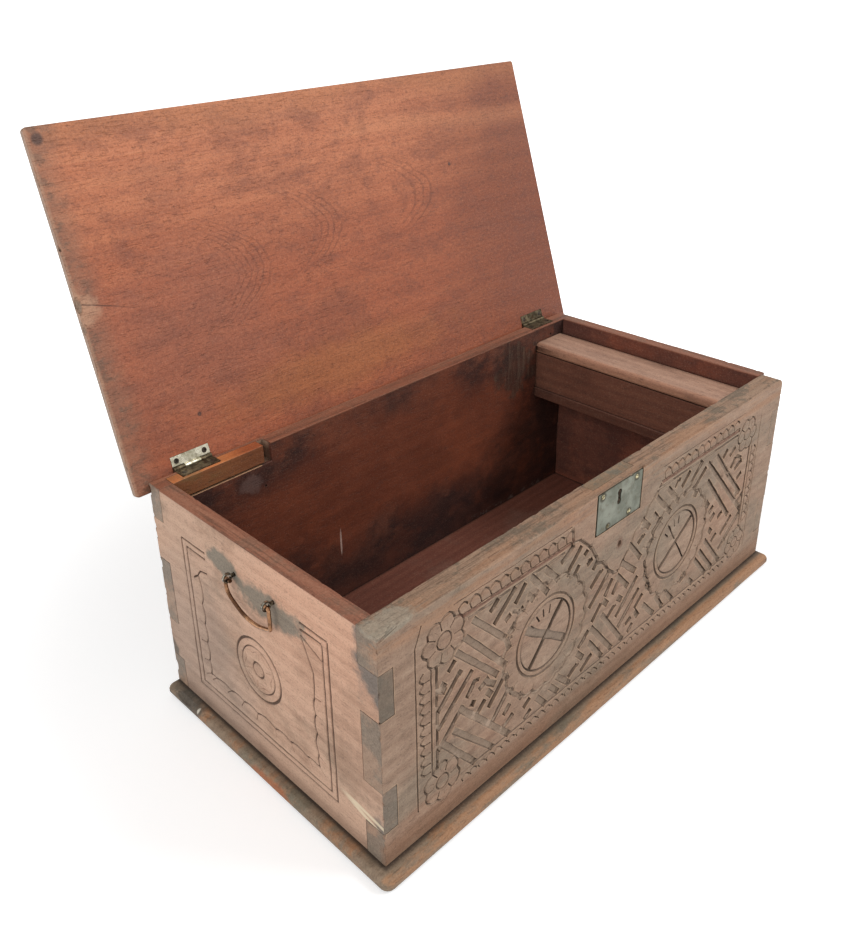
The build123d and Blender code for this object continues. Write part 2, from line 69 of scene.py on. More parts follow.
# ---------------------------------------------------------------------------------------------- the studio
# The chest stands on a pale floor and is looked down on past its front left corner. A broad lamp hangs to
# the right in front of it, a softer one stands at its left, and the room itself is bright all round.
MM = 0.001
picture_width, picture_height = 842, 935
focal_length = 942.5  # in pixels, as are the next two
sight_x, sight_y = 403.6, 388.1
yaw, pitch, roll = (math.radians(angle) for angle in (43.516, 24.731, -1.365))
eye = Vector((-595.9, -504.9, 620.3)) * MM

camera = bpy.data.objects.new("camera", bpy.data.cameras.new("camera"))
bpy.context.scene.collection.objects.link(camera)
camera.data.sensor_fit = "HORIZONTAL"
camera.data.sensor_width = 36
camera.data.lens = focal_length / picture_width * camera.data.sensor_width
camera.data.shift_x = (picture_width / 2 - sight_x) / picture_width
camera.data.shift_y = (sight_y - picture_height / 2) / picture_width
camera.matrix_world = (
    Matrix.Translation(eye)
    @ Matrix.Rotation(-yaw, 4, "Z")
    @ Matrix.Rotation(math.pi / 2 - pitch, 4, "X")
    @ Matrix.Rotation(roll, 4, "Z")
)
bpy.context.scene.camera = camera
bpy.context.scene.view_settings.view_transform = "Standard"


def lamp(name, at, towards, size, watts):
    """A square soft lamp at a place, turned towards another."""
    light = bpy.data.lights.new(name, "AREA")
    light.shape = "SQUARE"
    light.size = size
    light.energy = watts
    holder = bpy.data.objects.new(name, light)
    bpy.context.scene.collection.objects.link(holder)
    holder.location = at
    holder.rotation_euler = (Vector(towards) - Vector(at)).to_track_quat("-Z", "Y").to_euler()


lamp("key_lamp", (1.5, -1.7, 2.3), (0, 0, 0.15), 1.2, 42)
lamp("left_lamp", (-2.4, -0.4, 1.5), (0, 0, 0.12), 1.6, 30)


def seen_directly(tree):
    """1 for what the camera sees straight, in a polished surface or through glass, else 0."""
    path = tree.nodes.new("ShaderNodeLightPath")
    highest = path.outputs["Is Camera Ray"]
    for kind in ("Is Glossy Ray", "Is Transmission Ray"):
        larger = tree.nodes.new("ShaderNodeMath")
        larger.operation = "MAXIMUM"
        tree.links.new(highest, larger.inputs[0])
        tree.links.new(path.outputs[kind], larger.inputs[1])
        highest = larger.outputs[0]
    return highest


room_level, backdrop_level = 0.50, 1.0
world = bpy.data.worlds.new("room")
world.use_nodes = True
bpy.context.scene.world = world
room_strength = world.node_tree.nodes.new("ShaderNodeMapRange")
room_strength.inputs["To Min"].default_value = room_level
room_strength.inputs["To Max"].default_value = backdrop_level
world.node_tree.links.new(seen_directly(world.node_tree), room_strength.inputs["Value"])
room = world.node_tree.nodes["Background"]
room.inputs["Color"].default_value = (1, 1, 1, 1)
world.node_tree.links.new(room_strength.outputs["Result"], room.inputs["Strength"])

floor_reach = 60.0
near, far = 0.36, 0.95  # between these distances from the chest the floor fades into the backdrop
near_lift = 0.42
floor_mesh = bmesh.new()
bmesh.ops.create_grid(floor_mesh, x_segments=1, y_segments=1, size=floor_reach)
floor = bpy.data.objects.new("floor", bpy.data.meshes.new("floor"))
floor_mesh.to_mesh(floor.data)
bpy.context.scene.collection.objects.link(floor)
floor_paint = bpy.data.materials.new("floor_paint")
floor_paint.use_nodes = True
paint = floor_paint.node_tree.nodes["Principled BSDF"]
paint.inputs["Base Color"].default_value = (0.8, 0.8, 0.8, 1)
paint.inputs["Roughness"].default_value = 0.9
paint.inputs["Specular IOR Level"].default_value = 0.1
paint.inputs["Emission Color"].default_value = (1, 1, 1, 1)
floor_place = floor_paint.node_tree.nodes.new("ShaderNodeTexCoord")
distance = floor_paint.node_tree.nodes.new("ShaderNodeVectorMath")
distance.operation = "LENGTH"
lift = floor_paint.node_tree.nodes.new("ShaderNodeMapRange")
lift.interpolation_type = "SMOOTHSTEP"
fade = {"From Min": near, "From Max": far, "To Min": near_lift, "To Max": backdrop_level}
for key, value in fade.items():
    lift.inputs[key].default_value = value
shown = floor_paint.node_tree.nodes.new("ShaderNodeMath")
shown.operation = "MULTIPLY"
floor_paint.node_tree.links.new(floor_place.outputs["Object"], distance.inputs[0])
floor_paint.node_tree.links.new(distance.outputs["Value"], lift.inputs["Value"])
floor_paint.node_tree.links.new(lift.outputs["Result"], shown.inputs[0])
floor_paint.node_tree.links.new(seen_directly(floor_paint.node_tree), shown.inputs[1])
floor_paint.node_tree.links.new(shown.outputs[0], paint.inputs["Emission Strength"])
floor.data.materials.append(floor_paint)

# ---------------------------------------------------------------------------------------- the base plank
# One rounded teak plank lies under the four walls and is nailed up into them. It stands out in front and at
# the left as a low step, grey with dust and rubbed orange on its nose; inside the chest it is red-brown.
X, Y, Z = 0, 1, 2


def mm(*lengths):
    """Lengths given in millimetres, in metres."""
    return tuple(length * MM for length in lengths)


def tone(red, green, blue):
    """The linear colour of a tone given from 0 to 255."""
    return tuple(((c / 255 + 0.055) / 1.055) ** 2.4 for c in (red, green, blue)) + (1.0,)


class Finish:
    """A finish laid on in coats, with its patterns read in metres from the piece's own place in the chest."""

    def __init__(self, name):
        self.material = bpy.data.materials.new(name)
        self.material.use_nodes = True
        self.tree = self.material.node_tree
        self.shader = self.tree.nodes["Principled BSDF"]
        coordinates = self.tree.nodes.new("ShaderNodeTexCoord").outputs
        self.place, self.facing = coordinates["Object"], coordinates["Normal"]

    def add(self, kind, inputs, output=0, **settings):
        """Adds a node with its inputs linked or set, and gives the named output."""
        node = self.tree.nodes.new("ShaderNode" + kind)
        for key, value in settings.items():
            setattr(node, key, value)
        for key, value in inputs.items():
            if isinstance(value, bpy.types.NodeSocket):
                self.tree.links.new(value, node.inputs[key])
            else:
                node.inputs[key].default_value = value
        return node.outputs[output]

    def maths(self, operation, first, second=0.0):
        """One sum with two values."""
        return self.add("Math", {0: first, 1: second}, operation=operation)

    def axis(self, which):
        """The place along X, Y or Z."""
        return self.add("SeparateXYZ", {0: self.place}, output=which)

    def step(self, value, low, high, start=0.0, end=1.0):
        """Runs smoothly from start to end as value goes from low to high."""
        limits = {"Value": value, "From Min": low, "From Max": high, "To Min": start, "To Max": end}
        return self.add("MapRange", limits, interpolation_type="SMOOTHSTEP")

    def noise(self, waves, detail=4.0, rough=0.6, warp=0.0, shift=0.0):
        """Noise from 0 to 1, with so many waves to the metre: one number, or one each along X, Y and Z."""
        if isinstance(waves, (int, float)):
            waves = (waves,) * 3
        scaled = self.add("Mapping", {"Vector": self.place, "Location": (shift,) * 3, "Scale": waves})
        look = {"Vector": scaled, "Scale": 1.0, "Detail": detail, "Roughness": rough, "Distortion": warp}
        return self.add("TexNoise", look)

    def clouds(self, waves, low, high, **look):
        """Noise as patches: 0 where it is under the low value, 1 where it is over the high one."""
        return self.step(self.noise(waves, **look), low, high)

    def overlap(self, *masks):
        """1 where all the masks are 1, 0 where one of them is 0."""
        shared = masks[0]
        for mask in masks[1:]:
            shared = self.maths("MULTIPLY", shared, mask)
        return shared

    def opposite(self, mask):
        """0 where the mask is 1, and 1 where it is 0."""
        return self.maths("SUBTRACT", 1.0, mask)

    def past(self, which, sway, low, high, start=0.0, end=1.0):
        """Runs from start to end along an axis, over a line that wanders with the board's patches."""
        wandering = self.maths("ADD", self.axis(which), self.maths("MULTIPLY", self.patch, sway))
        return self.step(wandering, low, high, start, end)

    def shade(self, value, *tones):
        """A colour that runs through the tones, evenly spaced, as value goes from 0 to 1."""
        ramp = self.tree.nodes.new("ShaderNodeValToRGB")
        stops = ramp.color_ramp.elements
        while len(stops) < len(tones):
            stops.new(0.5)
        for k, colour in enumerate(tones):
            stops[k].position = k / (len(tones) - 1)
            stops[k].color = tone(*colour)
        self.tree.links.new(value, ramp.inputs[0])
        return ramp.outputs[0]

    def coat(self, mask, strength, *tones):
        """Lays a colour over the finish so far where the mask is 1: one tone, a colour made by nodes or a
        linear one with its alpha, or else several tones that follow the figure."""
        colour = tones[0]
        if len(tones) > 1:
            colour = self.shade(self.figure, *tones)
        elif isinstance(colour, tuple) and len(colour) == 3:
            colour = tone(*colour)
        factor = self.maths("MULTIPLY", mask, strength)
        self.colour = self.add("Mix", {0: factor, 6: self.colour, 7: colour}, output=2, data_type="RGBA")

    def within(self, x=None, y=None, z=None, soft=0.6 * MM):
        """1 between the given low and high limits along each axis, else 0."""
        mask = None
        for which, limits in enumerate((x, y, z)):
            if limits is None:
                continue
            value = self.axis(which)
            inside = self.overlap(
                self.step(value, limits[0] - soft, limits[0] + soft),
                self.step(value, limits[1] + soft, limits[1] - soft),
            )
            mask = inside if mask is None else self.overlap(mask, inside)
        return mask

    def spot(self, centre, radii, ragged=0.7, waves=55, soft=0.35):
        """A ragged patch about a place: 1 in its middle, 0 outside."""
        scale = [1 / r for r in radii]
        shift = [-c / r for c, r in zip(centre, radii)]
        moved = self.add("Mapping", {"Vector": self.place, "Location": shift, "Scale": scale})
        reach = self.add("VectorMath", {0: moved}, output=1, operation="LENGTH")
        edge = self.maths("MULTIPLY", self.maths("SUBTRACT", self.noise(waves), 0.5), 2 * ragged)
        return self.step(self.maths("ADD", reach, edge), 1 + soft, 1 - soft)

    def shaded_crevice(self, reach=3.5 * MM, low=0.86, high=0.42):
        """1 deep in corners, seams and cuts that are narrower than the reach, 0 in the open: the mask for
        painted shade with grime.
        """
        openness = self.add("AmbientOcclusion", {"Distance": reach}, output="AO", samples=6)
        return self.step(openness, low, high)

    def arris(self, reach):
        """1 along the edges that stand proud, 0 on the open faces."""
        fullness = self.add(
            "AmbientOcclusion", {"Distance": reach}, output="AO", samples=6, only_local=True, inside=True
        )
        return self.step(fullness, 0.92, 0.6)

    def upright(self, which):
        """1 on the walls of cuts made square into a face that looks along an axis, 0 on the face itself."""
        square_on = self.maths("ABSOLUTE", self.add("SeparateXYZ", {0: self.facing}, output=which))
        return self.step(square_on, 0.80, 0.45)

    def grain(self, along, heart, ring=9 * MM, sway=7.0, plain=0.8, seed=0.0):
        """Teak's figure from 0, dark, to 1, light: rings about a heart line along the board, with streaks."""
        run = [1.0, 1.0, 1.0]
        run[along] = 0.13
        period = 0.314 / ring
        moved = self.add("Mapping", {"Vector": self.place, "Location": [-h for h in heart]})
        scaled = self.add("Mapping", {"Vector": moved, "Location": (seed,) * 3, "Scale": run})
        rings = self.add(
            "TexWave",
            {
                "Vector": scaled,
                "Scale": period,
                "Distortion": sway,
                "Detail": 3.0,
                "Detail Scale": 0.35,
                "Detail Roughness": 0.55,
            },
            wave_type="RINGS",
            rings_direction="XYZ"[along],
            wave_profile="SIN",
        )
        thread = [330.0] * 3
        thread[along] = 13.0
        self.streak = self.noise(thread, detail=5, rough=0.75, shift=seed)
        hair = [900.0] * 3
        hair[along] = 100.0
        self.pore = self.clouds(hair, 0.59, 0.68, detail=2, shift=seed + 3)
        crumb = [430.0] * 3
        crumb[along] = 210.0
        self.fleck = self.clouds(crumb, 0.57, 0.70, detail=4, rough=0.7, shift=seed + 5)
        self.patch = self.noise((6, 6, 9), detail=3, warp=0.6, shift=seed + 7)
        mixed = self.add("Mix", {0: plain, 2: rings, 3: self.streak}, data_type="FLOAT")
        self.figure = self.add("Mix", {0: 0.35, 2: mixed, 3: self.patch}, data_type="FLOAT")

    def aged(self, pores=0.25, flecks=0.3, grime_and_shade=0.8, open_to=0.86):
        """Darkens the pores and the crumbled spots, as dust and handling do over the years, and paints shade
        with grime into the crevices.
        """
        grit = self.noise(640, detail=4, rough=0.75, shift=27)
        self.coat(self.step(grit, 0.50, 0.68), 0.30, (62, 44, 34))
        self.coat(self.step(grit, 0.48, 0.32), 0.10, (226, 196, 168))
        self.coat(self.pore, pores, (58, 40, 30))
        self.coat(self.fleck, flecks, (60, 42, 32))
        # Painted shade, with grime, in corners, seams and cuts.
        self.coat(self.shaded_crevice(low=open_to, high=open_to / 2), grime_and_shade, (44, 30, 22))

    def done(self, roughness=0.62, relief=0.25 * MM, gloss=0.35):
        """Sets the colour, the roughness and the fine relief of the grain, and gives the material."""
        if isinstance(roughness, bpy.types.NodeSocket):
            self.tree.links.new(roughness, self.shader.inputs["Roughness"])
        else:
            self.shader.inputs["Roughness"].default_value = roughness
        self.shader.inputs["Specular IOR Level"].default_value = gloss
        self.tree.links.new(self.colour, self.shader.inputs["Base Color"])
        height = self.maths("SUBTRACT", self.streak, self.maths("MULTIPLY", self.pore, 0.6))
        bump = self.add("Bump", {"Height": height, "Distance": relief, "Strength": 1.0})
        self.tree.links.new(bump, self.shader.inputs["Normal"])
        return self.material


def worn_copy(node, arris=0.6 * MM, wander=0.35 * MM, pitch=24 * MM, shortest=6 * MM):
    """A copy of a solid as use has left it, its long arrises rubbed round and its faces no longer flat."""
    mesh = bmesh.new()
    mesh.from_mesh(frame["nodes"][node].data)
    bmesh.ops.remove_doubles(mesh, verts=mesh.verts, dist=0.002 * MM)
    bmesh.ops.dissolve_limit(mesh, angle_limit=math.radians(1), verts=mesh.verts, edges=mesh.edges)
    arrises = [
        edge
        for edge in mesh.edges
        if edge.is_manifold
        and edge.calc_face_angle() > math.radians(35)
        and edge.calc_length() > shortest
    ]
    bmesh.ops.bevel(
        mesh,
        geom=arrises,
        offset=arris,
        segments=2,
        profile=0.5,
        affect="EDGES",
        material=-1,
        clamp_overlap=True,
    )
    low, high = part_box(node)
    for which in (X, Y, Z):
        normal = Vector([float(which == k) for k in (X, Y, Z)])
        for k in range(1, int((high[which] - low[which]) / pitch)):
            bmesh.ops.bisect_plane(
                mesh,
                geom=mesh.verts[:] + mesh.edges[:] + mesh.faces[:],
                plane_co=normal * (low[which] + k * pitch),
                plane_no=normal,
                dist=0.001 * MM,
            )
    mesh.normal_update()
    for vert in mesh.verts:
        vert.co -= vert.normal * wander * (0.5 + 0.5 * noise.noise(vert.co * 23))
    return mesh


def nick(at, radii, seed):
    """A cutter for a knock or a lost splinter: a lump with a rough skin."""
    chance = random.Random(seed)
    lump = bmesh.new()
    bmesh.ops.create_icosphere(lump, subdivisions=2, radius=1)
    for vert in lump.verts:
        vert.co *= chance.uniform(0.78, 1.1)
    turn = Matrix.Rotation(chance.uniform(-0.35, 0.35), 4, "XYZ"[seed % 3])
    place = Matrix.Translation(at) @ turn @ Matrix.Diagonal((*radii, 1))
    bmesh.ops.transform(lump, matrix=place, verts=lump.verts)
    return lump


def knocks(start, end, count, radii, seed):
    """Cutters for knocks scattered along an arris."""
    chance = random.Random(seed)
    start, end = Vector(start), Vector(end)
    found = []
    for k in range(count):
        size = chance.uniform(0.35, 1.0) ** 2
        at = start.lerp(end, chance.random())
        found.append(nick(at, [r * size for r in radii], seed * 50 + k))
    return found


def cut_away(mesh, cutters):
    """The mesh with every cutter taken out of it, worked as one cut."""
    holder = bpy.data.objects.new("cutting", bpy.data.meshes.new("cutting"))
    mesh.to_mesh(holder.data)
    bpy.context.scene.collection.objects.link(holder)
    tools = bpy.data.collections.new("tools")
    for cutter in cutters:
        tool = bpy.data.objects.new("tool", bpy.data.meshes.new("tool"))
        cutter.to_mesh(tool.data)
        tools.objects.link(tool)
    cut = holder.modifiers.new("cut", "BOOLEAN")
    cut.operation = "DIFFERENCE"
    cut.operand_type = "COLLECTION"
    cut.collection = tools
    cut.solver = "MANIFOLD"
    depsgraph = bpy.context.evaluated_depsgraph_get()
    worked = bmesh.new()
    worked.from_mesh(bpy.data.meshes.new_from_object(holder.evaluated_get(depsgraph)))
    for tool in list(tools.objects):
        bpy.data.objects.remove(tool)
    bpy.data.collections.remove(tools)
    bpy.data.objects.remove(holder)
    return worked


def stand_in(mesh, name, node, material, smooth=38):
    """Makes the mesh the visible piece in place of its solid, on the same body, with the given finish in its
    one slot.
    """
    record = frame["record"]
    data = bpy.data.meshes.new(name)
    mesh.to_mesh(data)
    data.shade_smooth()
    data.set_sharp_from_angle(angle=math.radians(smooth))
    data.materials.clear()
    data.materials.append(material)
    piece = bpy.data.objects.new(name, data)
    bpy.context.scene.collection.objects.link(piece)
    evened = piece.modifiers.new("evened", "WEIGHTED_NORMAL")
    evened.keep_sharp = True
    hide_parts(node)
    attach(piece, next(b for b, nodes in record["behaviour"]["bodies"].items() if node in nodes))
    return piece


base_low, base_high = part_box("bottom_board")
base_left, base_front, base_foot = base_low
base_right, base_top = base_high.x, base_high.z
wall_left, inner_left = (corner.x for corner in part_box("left_end_board"))
inner_right, wall_right = (corner.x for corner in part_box("right_end_board"))
wall_front, inner_front = (corner.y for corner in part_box("front_board"))
inner_back, wall_back = (corner.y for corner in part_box("back_board"))
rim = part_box("front_board")[1].z

plank = Finish("base_plank_finish")
plank.grain(X, heart=(0, -0.1, -0.09), seed=2.3)
plank.colour = plank.shade(plank.figure, (88, 72, 58), (136, 116, 96), (168, 148, 126))
greyed = plank.clouds((11, 18, 30), 0.46, 0.62, detail=6, shift=6)
plank.coat(greyed, 0.7, (82, 78, 66), (128, 124, 106))
rubbed = plank.clouds((12, 26, 36), 0.50, 0.62, detail=6, rough=0.7, shift=4)
plank.coat(rubbed, 0.75, (124, 84, 56), (186, 136, 96))
front_nose = plank.step(plank.axis(Y), wall_front - 3 * MM, wall_front - 8 * MM)
tan = plank.clouds((10, 30, 44), 0.42, 0.56, detail=6, rough=0.7, shift=15)
plank.coat(plank.overlap(front_nose, tan), 0.8, (138, 98, 68), (196, 148, 110))
rubbed_nose = plank.spot((base_left, -0.012, 0.006), (0.02, 0.028, 0.004), ragged=0.8, waves=60)
plank.coat(rubbed_nose, 0.8, (134, 78, 48), (188, 116, 76))
under_walls_x = (inner_left - 4 * MM, inner_right + 4 * MM)
under_walls_y = (inner_front - 4 * MM, inner_back + 5 * MM)
room_inside = plank.within(x=under_walls_x, y=under_walls_y, soft=2 * MM)
plank.coat(room_inside, 1.0, (72, 38, 30), (116, 66, 51), (146, 92, 74))
dusty = plank.clouds(14, 0.50, 0.66, detail=6, shift=9)
plank.coat(plank.overlap(dusty, room_inside), 0.4, (128, 98, 84))
reach_x = plank.step(plank.axis(X), wall_left - 5 * MM, wall_left - 0.5 * MM)
reach_y = plank.step(plank.axis(Y), wall_front - 6 * MM, wall_front - 0.5 * MM)
against_wall = plank.overlap(reach_x, reach_y)
on_top = plank.step(plank.axis(Z), base_top - 1.6 * MM, base_top - 0.5 * MM)
# Darker on the step's top close to the foot of the walls.
dark_by_wall_foot = plank.overlap(plank.maths("SUBTRACT", against_wall, room_inside), on_top)
plank.coat(dark_by_wall_foot, 0.8, (44, 31, 24))
tarred = plank.spot((-0.289, 0.112, 0.010), (0.010, 0.020, 0.009), ragged=0.9, waves=90)
plank.coat(tarred, 0.8, plank.shade(plank.streak, (44, 41, 36), (92, 88, 80)))
chipped_pale = plank.spot((-0.2895, 0.094, 0.011), mm(3, 1.4, 3), ragged=0.4, waves=200)
plank.coat(chipped_pale, 0.8, (216, 208, 192))
plank.coat(plank.step(plank.axis(Z), base_foot + 1.5 * MM, base_foot), 0.6, (50, 42, 34))
plank.aged()

base_mesh = worn_copy("bottom_board", arris=0.8 * MM, wander=0.5 * MM)
base_cuts = knocks((base_left, -0.15, base_top), (base_left, 0.14, base_top), 16, mm(3, 10, 2.2), 3)
front_nose_line = (wall_left, base_front, base_top), (base_right, base_front, base_top)
base_cuts += knocks(*front_nose_line, 26, mm(11, 2.4, 1.8), 4)
base_cuts.append(nick((base_left, 0.115, 0.011), mm(6, 16, 4.5), 7))
base_cuts.append(nick((-0.288, 0.083, 0.0125), mm(5, 9, 3), 8))
stand_in(cut_away(base_mesh, base_cuts), "base_plank", "bottom_board", plank.done(0.68))

# --------------------------------------------------------------------------------------- the front board
# The show face of the chest: thick teak, its through fingers showing as end grain at both corners. The fret,
# the two medallions, the corner flowers and the bead borders are cut by eye with a small gouge and a knife.
drawn = (wall_right - wall_left) / 600  # the pattern is set out with the board 600 long
knock_foot = 0.02  # knocks on upright arrises start this high over the floor


def corner_knocks(x, y, count, radii, seed):
    """Cutters for knocks scattered along an upright arris of the walls."""
    return knocks((x, y, knock_foot), (x, y, rim), count, radii, seed)


def wall_masks(finish, inside, along, end):
    """The masks of a wall board's inner face, its rim and its end grain at both corners."""
    on_rim = finish.step(finish.axis(Z), rim - 1.6 * MM, rim - 0.7 * MM)
    end_grain = finish.step(finish.maths("ABSOLUTE", finish.axis(along)), end - 0.9 * MM, end - 0.5 * MM)
    return finish.overlap(inside, finish.opposite(end_grain)), on_rim, end_grain


def weathered(finish, inside, rim_mask, end_grain, rim_tones, rim_dust):
    """The walls' common coats: dry tan outside, stained red-brown inside, dull on the rim and end grain."""
    finish.colour = finish.shade(finish.figure, (112, 86, 68), (160, 131, 110), (194, 165, 142))
    greyed = finish.clouds((9, 9, 15), 0.47, 0.64, detail=6, warp=0.5, shift=21)
    finish.coat(greyed, 0.55, (98, 90, 76), (146, 135, 117))
    ruddy = finish.clouds((8, 8, 17), 0.50, 0.66, detail=5, shift=33)
    finish.coat(ruddy, 0.35, (128, 84, 62), (186, 140, 112))
    mottle = finish.noise((75, 75, 110), detail=5, rough=0.7, shift=37)
    finish.coat(finish.step(mottle, 0.50, 0.66), 0.28, (98, 76, 60))
    finish.coat(finish.step(mottle, 0.46, 0.32), 0.25, (196, 170, 146))
    cloudy = finish.noise((16, 16, 26), detail=9, rough=0.72, warp=0.5, shift=45)
    cloudy = finish.maths(
        "ADD", finish.step(cloudy, 0.30, 0.70, 0.0, 0.75), finish.maths("MULTIPLY", finish.figure, 0.25)
    )
    stained = finish.shade(cloudy, (52, 32, 28), (92, 54, 43), (126, 76, 58))
    finish.coat(inside, 1.0, stained)
    speckled = finish.clouds(150, 0.48, 0.66, detail=5, rough=0.75, shift=39)
    finish.coat(finish.overlap(speckled, inside), 0.5, (54, 30, 25))
    rusty = finish.clouds((13, 13, 17), 0.48, 0.64, detail=6, rough=0.65, shift=43)
    rust = finish.shade(cloudy, (84, 44, 32), (148, 80, 54))
    finish.coat(finish.overlap(rusty, inside), 0.7, rust)
    blackened = finish.clouds((10, 10, 14), 0.50, 0.60, detail=7, rough=0.7, shift=41)
    finish.coat(finish.overlap(blackened, inside), 0.7, (38, 25, 27))
    finish.coat(rim_mask, 1.0, *rim_tones)
    rim_grey = finish.clouds(34, 0.50, 0.57, detail=6, rough=0.75, shift=51)
    finish.coat(finish.overlap(rim_grey, rim_mask), rim_dust, (96, 88, 74))
    worn_lines = finish.step(finish.streak, 0.50, 0.36)
    finish.coat(finish.overlap(worn_lines, rim_mask), 0.5, (70, 50, 38))
    rough_fibres = finish.noise(300, detail=5, rough=0.75, shift=61)
    raw = finish.shade(rough_fibres, (66, 58, 50), (118, 108, 96), (158, 146, 130))
    bared = finish.step(finish.noise(24, detail=6, rough=0.7, shift=63), 0.56, 0.44, 0.1, 0.75)
    finish.coat(finish.overlap(end_grain, bared), 1.0, raw)


def gouge(path, width, depth, flat=False, ends=1.0, shake=0.35 * MM, seed=0):
    """A cutter the shape of one stroke along a path of points (u, v) on a face: a round gouge cut, or a
    flat-bottomed channel with nearly upright sides."""
    chance = random.Random(seed)
    points = []
    for start, end in zip(path, path[1:]):
        start, end = Vector((*start, 0)), Vector((*end, 0))
        steps = max(1, round((end - start).length / (6 * MM)))
        points += [start.lerp(end, k / steps) for k in range(steps)]
    points.append(Vector((*path[-1], 0)))
    proud, half = 1.2 * MM, width / 2
    if flat:
        foot = half - 0.25 * MM
        section = [(-half - 0.1 * MM, proud), (half + 0.1 * MM, proud), (foot, -depth), (-foot, -depth)]
    else:
        section = [
            (-half - 0.5 * proud, proud),
            (half + 0.5 * proud, proud),
            (half * 0.45, -0.8 * depth),
            (0, -depth),
            (-half * 0.45, -0.8 * depth),
        ]
    stations = []
    for k, point in enumerate(points):
        along = (points[min(k + 1, len(points) - 1)] - points[max(k - 1, 0)]).normalized()
        across = Vector((along.y, -along.x, 0))
        size = ends if k in (0, len(points) - 1) else chance.uniform(0.94, 1.06)
        basis = Matrix((across, along, (0, 0, 1))).transposed().to_4x4()
        moved = point + across * chance.uniform(-shake, shake)
        stations.append(Matrix.Translation(moved) @ basis @ Matrix.Diagonal((size, 1, size, 1)))
    cutter = bmesh.new()
    verts = [cutter.verts.new(stations[0] @ Vector((x, 0, z))) for x, z in section]
    edges = cutter.faces.new(verts).edges[:]
    for before, after in zip(stations, stations[1:]):
        grown = bmesh.ops.extrude_edge_only(cutter, edges=edges)["geom"]
        verts = [item for item in grown if isinstance(item, bmesh.types.BMVert)]
        edges = [
            item
            for item in grown
            if isinstance(item, bmesh.types.BMEdge)
            and set(item.verts) <= set(verts)
        ]
        bmesh.ops.transform(cutter, matrix=after @ before.inverted(), verts=verts)
    bmesh.ops.contextual_create(cutter, geom=edges)
    bmesh.ops.recalc_face_normals(cutter, faces=cutter.faces)
    return cutter


def ring(centre, radius, width, depth, steps=40):
    """A cutter for a circle scribed on a face."""
    proud, half = 1.2 * MM, width / 2
    cutter = bmesh.new()
    section = [(-half * 1.4, proud), (half * 1.4, proud), (half * 0.4, -depth), (-half * 0.4, -depth)]
    verts = [cutter.verts.new((centre[0] + radius + x, centre[1], z)) for x, z in section]
    edges = [cutter.edges.new((a, b)) for a, b in zip(verts, verts[1:] + verts[:1])]
    bmesh.ops.spin(
        cutter,
        geom=verts + edges,
        cent=(*centre, 0),
        axis=(0, 0, 1),
        angle=2 * math.pi,
        steps=steps,
        use_merge=True,
    )
    bmesh.ops.recalc_face_normals(cutter, faces=cutter.faces)
    return cutter


def recess(centre, radius, depth):
    """A cutter for a round field sunk evenly into a face."""
    cutter = bmesh.new()
    bmesh.ops.create_cone(
        cutter, cap_ends=True, segments=48, radius1=radius, radius2=radius + 0.3 * MM, depth=2 * depth
    )
    bmesh.ops.translate(cutter, vec=(*centre, 0), verts=cutter.verts)
    return cutter


def around(centre, radius, angle):
    """The point at a radius and an angle in degrees about a centre."""
    turn = math.radians(angle)
    return centre[0] + radius * math.cos(turn), centre[1] + radius * math.sin(turn)


def scallops(centre, radius, lobes, bulge, width, depth, first=0.0, seed=0):
    """Cutters for a wavy outline of equal lobes, each one a stroke from cusp to cusp."""
    turn = 360 / lobes
    found = []
    for k in range(lobes):
        path = [
            around(centre, radius + bulge * math.sin(math.pi * t / 4), first + turn * (k + t / 4))
            for t in range(5)
        ]
        found.append(gouge(path, width, depth, shake=0.15 * MM, seed=seed + k))
    return found


def flower(centre, radius, petals, seed):
    """Cutters for a corner flower: scalloped petals, a ring at the heart and short cuts between them."""
    first = seed * 17
    found = scallops(centre, radius * 0.84, petals, radius * 0.2, 2.8 * MM, 2.2 * MM, first, seed)
    found.append(ring(centre, radius * 0.34, 2.0 * MM, 1.8 * MM, steps=18))
    turn = 360 / petals
    for k in range(petals):
        cut = [around(centre, radius * reach, first + turn * k) for reach in (0.46, 0.84)]
        found.append(gouge(cut, 2.2 * MM, 2.0 * MM, ends=0.7, seed=seed + k))
        cut = [around(centre, radius * reach, first + turn * (k + 0.5)) for reach in (0.52, 0.74)]
        found.append(gouge(cut, 1.2 * MM, 0.9 * MM, ends=0.5, seed=seed + k + 50))
    return found


def to_units(*points):
    """Points set out on the 600 long board, in metres."""
    return [(u * drawn, v * drawn) for u, v in points]


